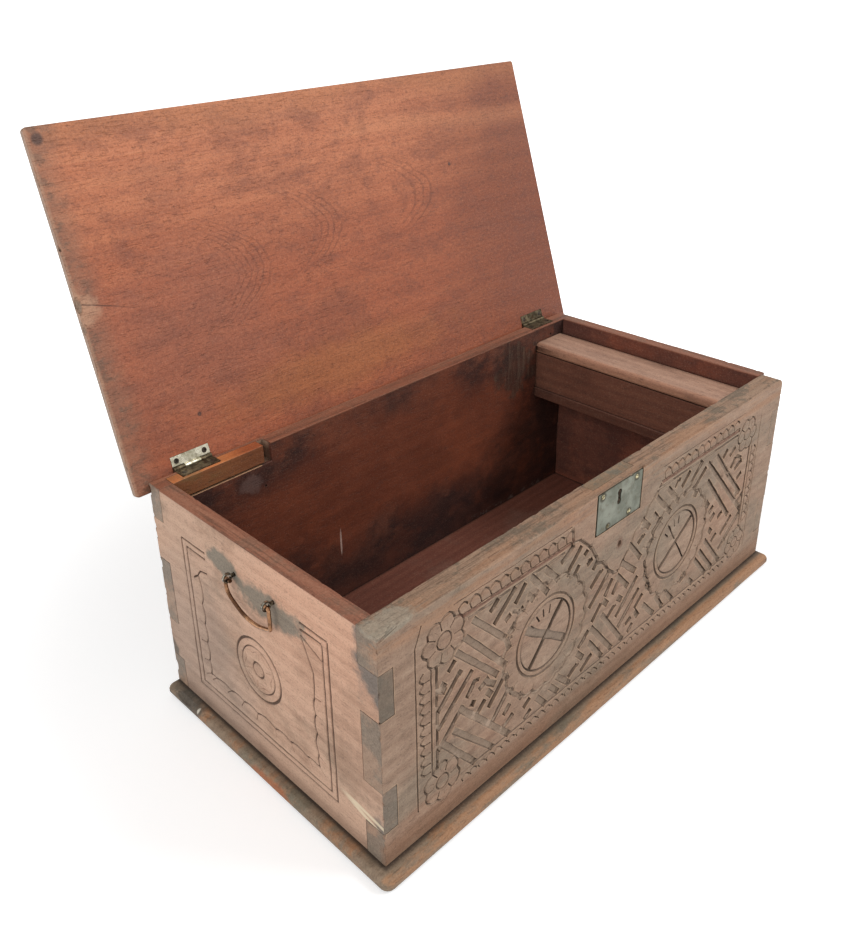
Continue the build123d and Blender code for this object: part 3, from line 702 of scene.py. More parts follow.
# Strokes of the fret from (u, v) to (u, v): those that rise to the right, then those that fall to the right.
rising = [
    (-240, 130, -215, 155), (-240, 112, -200, 148), (-240, 90, -211, 119), (-207, 123, -196, 136),
    (-192, 122, -180, 128), (-196, 96, -184, 107), (-180, 95, -158, 118), (-175, 76, -154, 99),
    (-160, 73, -152, 81), (-159, 59, -147, 67), (-133, 63, -124, 69), (-132, 49, -122, 55),
    (-175, 178, -149, 201), (-180, 193, -170, 201), (-149, 184, -136, 198), (-161, 173, -154, 177),
    (-157, 158, -148, 165), (-228, 163, -220, 170), (-89, 193, -72, 203), (-77, 180, -60, 197),
    (-69, 170, -62, 178), (-55, 184, -50, 188), (-50, 171, -42, 175), (-40, 161, -34, 168),
    (-42, 142, -27, 154), (-42, 120, -13, 147), (-18, 120, -7, 135), (-5, 115, 4, 129),
    (-36, 101, -23, 115), (-10, 92, 0, 100), (-55, 82, -40, 94), (-68, 56, -55, 64),
    (-49, 51, -32, 62), (4, 84, 37, 115), (9, 69, 42, 98), (110, 172, 141, 200),
    (104, 185, 118, 198), (130, 173, 150, 189), (32, 154, 40, 160), (55, 154, 72, 166),
    (37, 76, 50, 87), (23, 64, 32, 69), (28, 52, 36, 59), (122, 62, 134, 68),
    (184, 185, 192, 193), (198, 182, 209, 189), (204, 165, 213, 175), (213, 160, 228, 166),
    (221, 145, 231, 150), (228, 110, 241, 120), (200, 84, 221, 100), (200, 65, 241, 97),
    (181, 84, 191, 91), (189, 110, 198, 115), (172, 114, 181, 121), (167, 126, 176, 132),
]
falling = [
    (-198, 200, -157, 157), (-157, 157, -152, 143), (-207, 188, -156, 129), (-217, 179, -166, 125),
    (-200, 117, -194, 113), (-180, 117, -173, 108), (-211, 118, -149, 48), (-220, 102, -170, 48),
    (-232, 96, -193, 48), (-237, 155, -228, 148), (-180, 126, -169, 117), (-127, 203, -103, 174),
    (-108, 201, -89, 180), (-131, 187, -122, 177), (-18, 119, -9, 110), (2, 137, 24, 113),
    (6, 110, 15, 102), (-19, 104, 22, 50), (-35, 98, 4, 50), (-37, 82, -12, 50),
    (-55, 80, -44, 68), (-84, 71, -63, 50), (-94, 66, -80, 51), (-113, 66, -98, 48),
    (60, 197, 90, 166), (80, 198, 103, 173), (40, 179, 53, 166), (58, 179, 71, 164),
    (19, 164, 42, 137), (10, 147, 35, 125), (46, 150, 58, 143), (40, 75, 48, 64),
    (54, 75, 78, 50), (77, 73, 94, 50), (100, 64, 114, 48), (142, 59, 154, 48),
    (155, 195, 242, 102), (158, 173, 215, 106), (172, 197, 204, 160), (204, 160, 236, 125),
    (223, 132, 231, 124), (159, 87, 194, 47), (151, 80, 180, 47), (168, 96, 208, 50),
    (174, 107, 182, 99), (160, 147, 168, 138), (131, 170, 140, 164),
]
# The crooks at the ends of the strokes, and the lost crumbs of wood between them.
crooks = [
    (-217, 157, -212, 152), (-197, 135, -191, 133), (-187, 107, -184, 103), (-158, 118, -155, 110),
    (-155, 99, -149, 90), (-147, 90, -136, 76), (-152, 178, -140, 172), (-146, 172, -138, 176),
    (-236, 157, -230, 150), (-27, 154, -24, 151), (0, 100, 2, 97), (40, 160, 43, 157),
    (47, 128, 52, 108), (52, 108, 60, 92), (60, 92, 63, 84), (213, 177, 226, 169),
    (34, 172, 49, 166), (52, 142, 58, 145), (58, 145, 59, 156), (91, 190, 96, 197), (96, 197, 101, 195),
]
crumbs = [(-153, 152), (-78, 175), (-48, 176), (-25, 162), (-54, 62), (213, 71)]
pendant = [
    (-75, 222), (-72, 205), (-61, 203), (-45, 187), (-35, 172), (-34, 165), (-25, 162), (-15, 148), (-5, 140),
    (2, 140), (10, 150), (20, 160), (25, 172), (40, 180), (45, 190), (60, 200), (65, 206),
]
# A falling channel's traced line is its upper right edge, so its middle lies this much down and to the left.
edge_to_middle = 2.3
# Each medallion's middle, then its two arms: angle in degrees, width and depth.
medallions = [
    ((-105, 127), ((50, 5.2, 3.2), (145, 8.0, 2.1))),
    ((105, 121), ((34, 5.2, 2.8), (123, 2.4, 2.6))),
]
corner_flowers = [(-232, 196, 23, 7), (-235, 55, 21, 6), (232, 195, 19, 6), (237, 57, 19, 6)]

front_cuts = []
# Each kind of stroke: its lines, how far they lie off its middle, its width, depth, unevenness and seed.
fret = (
    (rising, 0.0, 6.0, 3.1, 0.12, 100),
    (falling, edge_to_middle, 6.2, 3.0, 0.12, 200),
    (crooks, 0.0, 4.2, 3.0, 0.1, 260),
)
for strokes, aside, width, depth, shake, seed in fret:
    for k, stroke in enumerate(strokes):
        u1, v1, u2, v2 = (value - aside for value in stroke)
        path = to_units((u1, v1), (u2, v2))
        front_cuts.append(gouge(path, width * MM, depth * MM, True, shake=shake * MM, seed=seed + k))
for k, (start, end) in enumerate(zip(pendant, pendant[1:])):
    front_cuts.append(gouge(to_units(start, end), 4.0 * MM, 3.0 * MM, seed=300 + k))
for k, ((u, v), arms) in enumerate(medallions):
    centre = (u * drawn, v * drawn)
    front_cuts += scallops(centre, 54 * drawn, 20, 4 * drawn, 4.0 * MM, 3.1 * MM, 5 * k, 400 + 30 * k)
    front_cuts.append(ring(centre, 39.5 * drawn, 2.8 * MM, 2.4 * MM))
    front_cuts.append(recess(centre, 35 * drawn, 0.9 * MM))
    front_cuts.append(ring(centre, 34 * drawn, 2.0 * MM, 2.6 * MM))
    for angle, width, depth in arms:
        arm = [around(centre, 33 * drawn * side, angle) for side in (-1, 1)]
        front_cuts.append(gouge(arm, width * MM, depth * MM, flat=True, seed=460 + k))
    for j in range(20):
        cusp = [around(centre, r * drawn, 5 * k + 18 * j) for r in (54, 46)]
        front_cuts.append(gouge(cusp, 2.0 * MM, 1.2 * MM, ends=0.5, seed=480 + 20 * k + j))
        if 3 < j < 8:
            tooth = [around(centre, r * drawn, 5 * k + 18 * j + 9) for r in (30, 21)]
            front_cuts.append(gouge(tooth, 2.0 * MM, 2.6 * MM, seed=520 + 20 * k + j))
for k, (u, v, radius, petals) in enumerate(corner_flowers):
    front_cuts += flower((u * drawn, v * drawn), radius * drawn, petals, 3 + k)

# The straight lines of the borders, from one point to another, with their width and depth in millimetres.
straight_lines = [
    ((-263, 42), (-263, 206), 1.8, 1.3), ((-263, 206), (-256, 224), 1.8, 1.2),
    ((-246.5, 70), (-246.5, 180), 2.0, 1.6), ((-240.5, 72), (-240.5, 178), 3.2, 3.0),
    ((260, 42), (260, 208), 1.8, 1.3), ((247, 78), (247, 176), 2.0, 1.5),
    ((241.5, 76), (241.5, 178), 3.2, 3.0), ((-222, 223.5), (-76, 223.5), 1.4, 0.9),
    ((-212, 208.5), (-76, 208.5), 2.0, 1.6), ((-212, 206), (-74, 206), 3.8, 1.8),
    ((-206, 201.5), (-70, 201.5), 2.8, 2.8), ((66, 223.5), (220, 223.5), 1.4, 0.9),
    ((64, 208.5), (214, 208.5), 2.0, 1.6), ((66, 206), (214, 206), 3.8, 1.8),
    ((62, 201.5), (212, 201.5), 2.8, 2.8), ((-214, 46.5), (218, 46.5), 2.8, 2.4),
]
for k, (start, end, width, depth) in enumerate(straight_lines):
    front_cuts.append(gouge(to_units(start, end), width * MM, depth * MM, shake=0.2 * MM, seed=600 + k))


def bead_row(start, along, outward, count, pitch, bulge, drop, width, seed):
    """Cutters for a row of beads: a scalloped outline, and a short leaning cut from each of its cusps."""
    chance = random.Random(seed)
    start, along, outward = Vector(start), Vector(along), Vector(outward)
    found = []
    for k in range(count):
        foot = start + along * (pitch * k + chance.uniform(-0.7, 0.7))
        size = pitch * chance.uniform(0.9, 1.0)
        arc = [
            foot + along * size * t / 4 + outward * bulge * math.sin(math.pi * t / 4) for t in range(5)
        ]
        found.append(gouge(to_units(*arc), width, width * 0.8, shake=0.15 * MM, seed=seed + k))
        lean = foot - outward * drop + along * abs(along.x) * 2
        found.append(gouge(to_units(foot, lean), width, width * 0.8, ends=0.8, seed=seed + 50 + k))
    return found


bead_rows = (
    ((-216, 216), (1, 0), (0, 1), 12, 12, 3.6, 6.5, 2.4 * MM, 700),
    ((68, 216), (1, 0), (0, 1), 12, 12, 3.6, 6.5, 2.4 * MM, 900),
    ((-254.5, 74), (0, 1), (-1, 0), 10, 10.5, 4.5, 6.5, 2.4 * MM, 1100),
    ((252.5, 80), (0, 1), (1, 0), 9, 10.5, 4.5, 5.5, 2.4 * MM, 1300),
    ((-212, 38.5), (1, 0), (0, 1), 43, 10, 3.4, 2.6, 2.0 * MM, 1500),
)
for row in bead_rows:
    front_cuts += bead_row(*row)

front_place = Matrix(((1, 0, 0, 0), (0, 0, -1, wall_front), (0, 1, 0, 0), (0, 0, 0, 1)))
for cutter in front_cuts:
    bmesh.ops.transform(cutter, matrix=front_place, verts=cutter.verts)
for k, (u, v) in enumerate(crumbs):
    front_cuts.append(nick((u * drawn, wall_front, v * drawn), mm(2.4, 2.6, 2.2), 80 + k))
front_cuts.append(nick((0, wall_front, 158.6 * MM), mm(3.4, 4, 4.0), 21))
front_cuts += knocks((wall_left, wall_front, rim), (wall_right, wall_front, rim), 54, mm(9, 2.0, 1.5), 5)
front_cuts += knocks((wall_left, inner_front, rim), (wall_right, inner_front, rim), 26, mm(7, 1.4, 1.0), 6)
front_cuts += corner_knocks(wall_left, wall_front, 30, mm(2.0, 2.0, 7), 7)
front_cuts += corner_knocks(wall_right, wall_front, 16, mm(2, 2, 5), 8)
front_cuts.append(nick((-0.262, wall_front, rim + 0.0005), mm(20, 3.5, 2.2), 22))
# Splits along the rim: their place, and half their length in millimetres.
splits = (
    (-0.205, -0.131, 24),
    (-0.236, -0.136, 19),
    (-0.150, -0.134, 16),
    (-0.095, -0.128, 12),
    (0.150, -0.132, 18),
)
for k, (x, y, reach) in enumerate(splits):
    front_cuts.append(nick((x, y, rim + 0.0003), (reach * MM, 1.3 * MM, 1.5 * MM), 23 + k))

front = Finish("front_board_finish")
front.grain(X, heart=(0, -0.05, 0.05), seed=11.7)
inside = front.step(front.axis(Y), wall_front + 12 * MM, wall_front + 19 * MM)
inside, on_rim, end_grain = wall_masks(front, inside, X, wall_right)
weathered(front, inside, on_rim, end_grain, ((88, 66, 51), (146, 118, 96), (182, 153, 128)), 0.65)
top_band = front.overlap(front.step(front.axis(Z), 0.196, 0.207), front.opposite(inside))
orange_streak = front.clouds((9, 60, 120), 0.44, 0.60, detail=5, shift=71)
front.coat(front.overlap(top_band, orange_streak), 0.45, (172, 124, 90))
foot_band = front.within(y=(wall_front - 0.01, wall_front + 0.004), z=(0.0, 33 * drawn), soft=3 * MM)
front.coat(foot_band, 0.5, (104, 70, 50), (156, 116, 88))
face_only = front.within(
    x=(wall_left + 1.5 * MM, wall_right - 1.5 * MM), z=(0.0, rim - 1.5 * MM), soft=0.8 * MM
)
carved = front.overlap(face_only, front.opposite(inside))
cut_depth = front.maths("SUBTRACT", front.axis(Y), wall_front)
dust_patches = front.noise(60, detail=6, shift=81)
dust = front.shade(dust_patches, (152, 125, 105), (190, 167, 146), (212, 191, 170))
front.coat(front.overlap(carved, front.step(cut_depth, 0.6 * MM, 1.8 * MM)), 0.7, dust)
# Painted shade on the floors of the left medallion's arms.
left_medallion = front.spot(
    (-105 * drawn, wall_front, 127 * drawn), (33 * drawn, 0.01, 33 * drawn), ragged=0.1, soft=0.1
)
shaded_arm_floor = front.overlap(left_medallion, front.step(cut_depth, 1.2 * MM, 1.9 * MM))
front.coat(shaded_arm_floor, 0.6, (112, 97, 83))
red_groove = front.within(z=(203.6 * drawn, 209.6 * drawn), soft=0.5 * MM)
red_groove = front.overlap(red_groove, front.step(cut_depth, 0.5 * MM, 1.1 * MM))
front.coat(front.overlap(carved, red_groove), 0.7, (118, 72, 54))
# Painted shade with grime on the walls of the cuts, darkest on walls that face down, away from the light.
soot_and_shade = front.shade(front.noise(80, shift=85), (34, 23, 16), (72, 52, 39))
cut_walls = front.overlap(front.upright(Y), front.step(cut_depth, 0.4 * MM, 1.0 * MM))
shade_facing_down = front.step(front.add("SeparateXYZ", {0: front.facing}, output=Z), 0.25, -0.35, 0.5, 1.0)
front.coat(front.overlap(carved, cut_walls, shade_facing_down), 0.95, soot_and_shade)
# Painted highlight, with rubbing, along the proud edges of the carved land.
on_land = front.overlap(carved, front.step(cut_depth, 1.0 * MM, 0.5 * MM))
front.coat(front.overlap(on_land, front.arris(1.2 * MM)), 0.45, (214, 180, 148))
knot = front.spot((0.0, wall_front, 0.1586), mm(5, 6, 6), ragged=0.5, waves=90)
front.coat(knot, 0.6, (112, 78, 60))
corner_chips = front.spot((-0.268, -0.136, rim), (0.026, 0.012, 0.005), ragged=1.0, waves=60, soft=0.25)
chipped = front.shade(front.noise(160, detail=5, rough=0.8, shift=87), (58, 50, 40), (196, 188, 168))
front.coat(corner_chips, 0.7, chipped)
# Painted shade: thin dark lines along the cut edges of the carving, where the ridges shade the channel
# floors.
painted_hem_shade = front.overlap(carved, front.shaded_crevice(1.5 * MM, low=0.84, high=0.54))
front.coat(painted_hem_shade, 0.75, (56, 40, 30))
front.aged(grime_and_shade=0.4, open_to=0.60)
stand_in(
    cut_away(worn_copy("front_board"), front_cuts), "carved_front_board", "front_board", front.done(0.72)
)

# ---------------------------------------------------------------------------------------- the back board
# A plainer board with the same fingers. Inside it is stained and blotched, and its rim is cut down for the
# hinges and for the strip let in under the left one.
back = Finish("back_board_finish")
back.grain(X, heart=(0, 0.2, 0.1), ring=12 * MM, seed=23.1)
inside = back.step(back.axis(Y), inner_back + 7 * MM, inner_back + 1 * MM)
inside, on_rim, end_grain = wall_masks(back, inside, X, wall_right)
weathered(back, inside, on_rim, end_grain, ((88, 50, 36), (138, 86, 64), (170, 118, 90)), 0.15)
warm = back.spot((-0.03, inner_back, 0.14), (0.2, 0.05, 0.07), ragged=0.9, waves=14)
back.coat(back.overlap(warm, inside), 0.55, (110, 50, 31), (162, 84, 52))
low_dark = back.spot((-0.1, inner_back, 0.02), (0.35, 0.05, 0.035), ragged=0.8, waves=20)
back.coat(back.overlap(low_dark, inside), 0.6, (38, 24, 26))
scuffed = back.spot((0.180, inner_back, 0.188), (0.034, 0.05, 0.032), ragged=1.2, waves=70, soft=0.2)
upright_scratches = back.clouds((210, 210, 22), 0.44, 0.62, detail=5, rough=0.7, shift=97)
scuffed = back.overlap(scuffed, inside)
back.coat(scuffed, 0.65, back.shade(upright_scratches, (44, 32, 28), (88, 76, 64)))
stain_edge = back.spot((-0.188, inner_back, 0.187), (0.020, 0.05, 0.016), ragged=0.9, waves=70, soft=0.5)
back.coat(back.overlap(stain_edge, inside), 0.6, (44, 28, 28))
grey_stain = back.spot((-0.190, inner_back, 0.188), (0.012, 0.05, 0.009), ragged=0.9, waves=80, soft=0.3)
back.coat(back.overlap(grey_stain, inside), 0.75, (84, 60, 56), (128, 100, 92))
patch_low, patch_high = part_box("hinge_rim_patch")
# Painted highlight where the ledge under the let-in strip catches the light.
lit_ledge = back.within(
    x=(patch_low.x + 2 * MM, patch_high.x - 3 * MM),
    y=(inner_back - 5 * MM, inner_back + 6 * MM),
    z=(patch_low.z - 2.2 * MM, patch_low.z + 0.5 * MM),
    soft=0.3 * MM,
)
back.coat(lit_ledge, 0.8, (222, 172, 132))
splinter = back.spot((-0.0902, inner_back, 0.079), mm(1.1, 5, 15), ragged=0.25, waves=220, soft=0.2)
back.coat(back.overlap(splinter, inside), 0.9, (206, 176, 162))
joint_dust = back.within(x=(0.10, 0.24), z=(0.0, 0.018), soft=2 * MM)
joint_grit = back.clouds(120, 0.50, 0.60, detail=5, rough=0.75, shift=89)
back.coat(back.overlap(joint_dust, joint_grit), 0.7, (122, 114, 108))
back.aged(grime_and_shade=0.7)
back_cuts = knocks((wall_left, inner_back, rim), (wall_right, inner_back, rim), 22, mm(8, 1.4, 1), 9)
back_cuts += corner_knocks(wall_left, wall_back, 20, mm(3, 3, 7), 10)
for k, (x, z) in enumerate(((-0.174, 0.181), (0.2436, 0.210))):
    back_cuts.append(nick((x, inner_back, z), mm(1.6, 3, 1.6), 28 + k))
stand_in(cut_away(worn_copy("back_board"), back_cuts), "worn_back_board", "back_board", back.done(0.55))

# --------------------------------------------------------------------------------------- the end boards
# Each end is one board with its grain level. A double line frames a scalloped line and a small rosette, all
# scribed lightly, and the wood is rubbed grey round the handle.
end_places = {
    "left_end_board": Matrix(((0, 0, -1, wall_left), (-1, 0, 0, 0), (0, 1, 0, 0), (0, 0, 0, 1))),
    "right_end_board": Matrix(((0, 0, 1, wall_right), (1, 0, 0, 0), (0, 1, 0, 0), (0, 0, 0, 1))),
}


def end_pattern(seed):
    """Cutters for the lines scribed on one end."""
    found = []
    # The double frame, open at the top round the handle.
    for reach, inset in ((0, 0), (7, 6.5)):
        left, right, foot, head = -105 + reach, 95 - reach, 38 + inset, 202 - inset
        corners = [(-68, head), (left, head), (left, foot), (right, foot), (right, head), (62, head)]
        for k, (start, end) in enumerate(zip(corners, corners[1:])):
            line = gouge(to_units(start, end), 2.6 * MM, 1.8 * MM, shake=0.2 * MM, seed=seed + reach + k)
            found.append(line)
    # The scalloped line inside it, with a tick at each cusp.
    stops_left = [(-84, v) for v in (172, 140, 118, 97, 77, 61)]
    stops_foot = [(u, 61) for u in (-84, -75, -52, -32, -12, 14, 35, 58, 74)]
    stops_right = [(74, v) for v in (61, 75, 98, 118, 135)]
    middle = (-5, 115)
    for stops in (stops_left, stops_foot, stops_right):
        for k, (start, end) in enumerate(zip(stops, stops[1:])):
            chord = Vector(end) - Vector(start)
            half = (Vector(start) + Vector(end)) / 2
            inward = (Vector(middle) - half).normalized()
            arc = [
                Vector(start) + chord * t / 4 + inward * 0.13 * chord.length * math.sin(math.pi * t / 4)
                for t in range(5)
            ]
            found.append(gouge(to_units(*arc), 2.5 * MM, 1.8 * MM, shake=0.15 * MM, seed=seed + 40 + k))
            tick = Vector(end) - inward * 9
            found.append(gouge(to_units(end, tick), 2.0 * MM, 1.7 * MM, ends=0.6, seed=seed + 60 + k))
    # The loose lines at the upper ends of the scalloped one.
    for path in (
        [(-84, 172), (-80, 178), (-68, 181)],
        [(-84, 172), (-92, 166)],
        [(74, 135), (75, 160), (68, 176), (62, 190)],
        [(62, 190), (88, 178)],
    ):
        found.append(gouge(to_units(*path), 2.4 * MM, 2.0 * MM, ends=0.7, seed=seed + 90))
    # The rosette in the middle.
    rosette = (-3 * drawn, 115 * drawn)
    found.append(ring(rosette, 31 * drawn, 3.0 * MM, 2.2 * MM))
    found.append(ring(rosette, 23 * drawn, 2.0 * MM, 1.4 * MM))
    found.append(ring(rosette, 7.5 * drawn, 2.4 * MM, 1.7 * MM, steps=20))
    for k in range(6):
        petal = [around(rosette, r * drawn, 60 * k + 20) for r in (12, 21)]
        found.append(gouge(petal, 1.8 * MM, 1.1 * MM, ends=0.5, seed=seed + 100 + k))
        leaf = [around(rosette, r * drawn, 60 * k + a) for r, a in ((21, 26), (17, 50), (21, 74))]
        found.append(gouge(leaf, 1.4 * MM, 0.8 * MM, ends=0.5, seed=seed + 110 + k))
    return found


def end_finish(name, outer, outwards, seed):
    """The finish of one end: warm and clean over most of its face, grey at the handle and the corners."""
    finish = Finish(name)
    finish.grain(Y, heart=(outer * 1.2, 0, 0.12), ring=10 * MM, seed=seed)
    depth = finish.maths("MULTIPLY", finish.maths("SUBTRACT", outer, finish.axis(X)), outwards)
    inside = finish.step(depth, 8 * MM, 13 * MM)
    inside, on_rim, end_grain = wall_masks(finish, inside, Y, wall_back)
    bare_ends = end_grain if outwards < 0 else finish.maths("MULTIPLY", end_grain, 0.3)
    weathered(finish, inside, on_rim, bare_ends, ((92, 52, 38), (142, 92, 70), (172, 126, 100)), 0.3)
    on_face = finish.opposite(finish.maths("MAXIMUM", inside, on_rim))
    on_face = finish.overlap(on_face, finish.opposite(end_grain))
    rubbed = finish.clouds((11, 13, 17), 0.36, 0.56, detail=6, rough=0.65, shift=seed)
    finish.coat(finish.overlap(rubbed, on_face), 0.75, (156, 120, 100), (204, 168, 144), (226, 190, 164))
    towards_front = finish.past(Y, 0.10, 0.12, 0.0, 0.15, 1.0)
    warm = finish.overlap(finish.past(Z, 0.08, 0.05, 0.27), towards_front, on_face)
    finish.coat(warm, 0.7, (154, 104, 80), (212, 162, 134), (226, 182, 154))
    for y, z, half_y, half_z in ((0.04, 0.192, 0.020, 0.010), (-0.02, 0.181, 0.040, 0.014)):
        handled = finish.spot((outer, y, z), (0.02, half_y, half_z), ragged=0.9, waves=70, soft=0.25)
        grey = finish.shade(finish.streak, (82, 82, 76), (136, 130, 114))
        finish.coat(finish.overlap(handled, on_face), 0.85, grey)
    for y, z, half_y, half_z in ((-0.140, 0.20, 0.021, 0.034), (-0.139, 0.03, 0.014, 0.024)):
        worn = finish.spot((outer, y, z), (0.02, half_y, half_z), ragged=0.9, waves=60, soft=0.3)
        grey = finish.shade(finish.streak, (70, 69, 67), (118, 114, 107))
        finish.coat(finish.overlap(worn, on_face), 0.88, grey)
    mauve = finish.overlap(
        finish.spot((outer, 0.10, 0.05), (0.02, 0.08, 0.11), waves=20, soft=0.6), on_face
    )
    finish.coat(mauve, 0.5, (122, 106, 96), (180, 160, 146))
    if outwards > 0:
        finish.coat(inside, 0.35, (96, 50, 38), (140, 80, 60))
    else:
        broken = finish.spot(
            (outer, wall_back, 0.045), (0.02, 0.010, 0.017), ragged=0.8, waves=80, soft=0.25
        )
        finish.coat(broken, 0.8, finish.shade(finish.streak, (52, 50, 45), (100, 97, 88)))
        dark_finger = finish.spot(
            (outer, wall_front, 0.166), (0.02, 0.008, 0.026), ragged=0.5, waves=60, soft=0.3
        )
        finish.coat(finish.overlap(dark_finger, end_grain), 0.7, (98, 90, 78))
    # Darker deeper in the scribed lines.
    deep_in_lines = finish.overlap(finish.step(depth, 0.40 * MM, 1.3 * MM), on_face)
    finish.coat(deep_in_lines, 0.8, (74, 54, 42))
    finish.coat(finish.overlap(finish.step(finish.axis(Z), 0.035, 0.013), on_face), 0.4, (86, 64, 50))
    finish.aged(pores=0.18, grime_and_shade=0.7, open_to=0.72)
    return finish


end_boards = (
    ("left_end_board", wall_left, inner_left, -1.0, 31),
    ("right_end_board", wall_right, inner_right, 1.0, 37),
)
for node, outer, inner, outwards, seed in end_boards:
    cuts = end_pattern(seed * 30)
    for cutter in cuts:
        bmesh.ops.transform(cutter, matrix=end_places[node], verts=cutter.verts)
    cuts += knocks((outer, -0.14, rim), (outer, 0.14, rim), 26, mm(1.4, 7, 1.2), seed)
    cuts += knocks((inner, -0.12, rim), (inner, 0.12, rim), 16, mm(1.2, 6, 0.9), seed + 1)
    cuts += corner_knocks(outer, wall_front, 18, mm(1.5, 1.5, 7), seed + 2)
    cuts += corner_knocks(outer, wall_back, 18, mm(2.2, 2.2, 8), seed + 3)
    finish = end_finish(node + "_finish", outer, outwards, seed)
    if outwards < 0:
        end_face = finish.step(finish.axis(Y), wall_front + 0.9 * MM, wall_front + 0.5 * MM)
        for slope, height, half in ((0.12, 0.0668, 2.3 * MM), (0.28, 0.0810, 2.8 * MM)):
            slant = finish.maths(
                "SUBTRACT", finish.axis(Z), finish.maths("MULTIPLY", finish.axis(Y), slope)
            )
            slant = finish.maths("ADD", slant, finish.maths("MULTIPLY", finish.streak, 1.5 * MM))
            streak = finish.overlap(
                finish.step(slant, height - half, height - half * 0.5),
                finish.step(slant, height + half, height + half * 0.5),
            )
            scuff = finish.overlap(streak, finish.step(finish.axis(Y), -0.090, -0.112))
            scuff = finish.overlap(scuff, finish.opposite(end_face))
            finish.coat(scuff, 0.75, (224, 208, 178))
    material = finish.done(0.7)
    stand_in(cut_away(worn_copy(node), cuts), "scribed_" + node, node, material)

# -------------------------------------------------------------------------------------- the rim patches
# Two strips let into the rims: a newer orange one carries the left hinge, and one closes the front rim over
# the lock. Both are glued in and stand within a hair of the boards round them.
orange = Finish("hinge_patch_finish")
orange.grain(X, heart=(-0.25, 0.1, 0.15), ring=6 * MM, seed=43.0)
orange.colour = orange.shade(orange.figure, (136, 72, 38), (190, 115, 66), (214, 150, 95))
reddened = orange.step(orange.axis(X), -0.215, -0.185)
orange.coat(reddened, 0.8, (110, 48, 24), (164, 82, 46))
orange.coat(orange.upright(Z), 0.8, (92, 56, 38), (148, 96, 64))
golden = orange.step(orange.axis(X), -0.205, -0.235)
golden = orange.overlap(golden, orange.clouds((60, 60, 90), 0.4, 0.6, detail=5, shift=91))
orange.coat(golden, 0.6, (124, 96, 60))
orange.aged(flecks=0.2, grime_and_shade=0.6)
stand_in(worn_copy("hinge_rim_patch"), "orange_rim_patch", "hinge_rim_patch", orange.done(0.5))

dull = Finish("lock_patch_finish")
dull.grain(X, heart=(0, -0.1, 0.15), ring=8 * MM, seed=47.0)
dull.colour = dull.shade(dull.figure, (84, 62, 46), (132, 108, 84), (156, 132, 108))
chips = dull.clouds(70, 0.48, 0.56, detail=6, rough=0.8, shift=93)
dull.coat(chips, 0.75, dull.shade(dull.streak, (66, 60, 50), (128, 124, 108)))
rosy = dull.clouds((20, 60, 60), 0.50, 0.60, detail=5, shift=95)
dull.coat(rosy, 0.5, (156, 116, 92))
dull.aged()
stand_in(
    worn_copy("lock_rim_patch", wander=0.2 * MM), "front_rim_patch", "lock_rim_patch", dull.done(0.66)
)

# ---------------------------------------------------------------------------------------------- the till
# A shallow lidded box across the right end for coins and small things. Its bottom and front are let into the
# long boards, and its lid turns up on two wooden pins that run in holes in them.
till_front_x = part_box("till_front_board")[0].x


def till_finish(name, dark, middle, light, seed, nose):
    """Stained teak with its grain along the till, rubbed bare and orange on the nose of the lid."""
    finish = Finish(name)
    finish.grain(Y, heart=(0.24, 0, 0.12), ring=9 * MM, seed=seed)
    finish.colour = finish.shade(finish.figure, dark, middle, light)
    if nose:
        bare = finish.within(x=(0.20, till_front_x + 3 * MM), soft=3 * MM)
        finish.coat(bare, 0.6, (140, 86, 60), (200, 146, 114))
    blot = finish.clouds((22, 9, 22), 0.52, 0.68, detail=5, shift=seed)
    finish.coat(blot, 0.5, dark)
    finish.aged(pores=0.4, grime_and_shade=0.7)
    return finish.done(0.55)


till_pieces = (
    ("till_bottom_board", "till_floor", (56, 32, 26), (92, 56, 43), (120, 78, 60), 53.0, False),
    ("till_front_board", "till_front", (66, 38, 30), (112, 70, 54), (142, 96, 72), 57.0, False),
    ("till_lid", "till_cover", (118, 86, 72), (176, 138, 116), (206, 170, 146), 61.0, True),
)
for node, name, dark, middle, light, seed, nose in till_pieces:
    finish = till_finish(name + "_finish", dark, middle, light, seed, nose)
    stand_in(worn_copy(node, wander=0.25 * MM), name, node, finish)

# ----------------------------------------------------------------------------------------------- the lid
# One wide flat-sawn plank with rubbed edges, held by the two hinges alone. Its inner face keeps a thin warm
# stain, blotched and rubbed grey along the left edge; its top is as dry as the walls.
lid_hinge = frame["joints"][0]
hinge_line = Vector(lid_hinge["pos_m"])
open_angle = math.radians(-lid_hinge["range_deg"][0])


def growth_arches(finish, tip, pitch, spread, reach, half_width):
    """Thin growth lines nested one in another like arches that open along -X from a tip."""
    along = finish.maths("SUBTRACT", tip[0], finish.axis(X))
    aside = finish.maths("SUBTRACT", finish.axis(Y), tip[1])
    aside_squared = finish.maths("MULTIPLY", aside, aside)
    bent = finish.maths("SUBTRACT", along, finish.maths("MULTIPLY", aside_squared, spread))
    drift = finish.maths("MULTIPLY", finish.noise((16, 24, 16), detail=5, shift=tip[0] * 30), 0.030)
    wave = finish.maths(
        "SINE", finish.maths("MULTIPLY", finish.maths("ADD", bent, drift), math.tau / pitch)
    )
    line = finish.overlap(finish.step(wave, 0.35, 1.0), finish.step(finish.streak, 0.35, 0.65, 0.3, 1.0))
    shown = finish.overlap(finish.step(bent, -pitch, pitch), finish.step(bent, reach, reach * 0.4))
    narrow = finish.step(finish.maths("ABSOLUTE", aside), half_width, half_width * 0.5)
    return finish.overlap(line, shown, narrow)


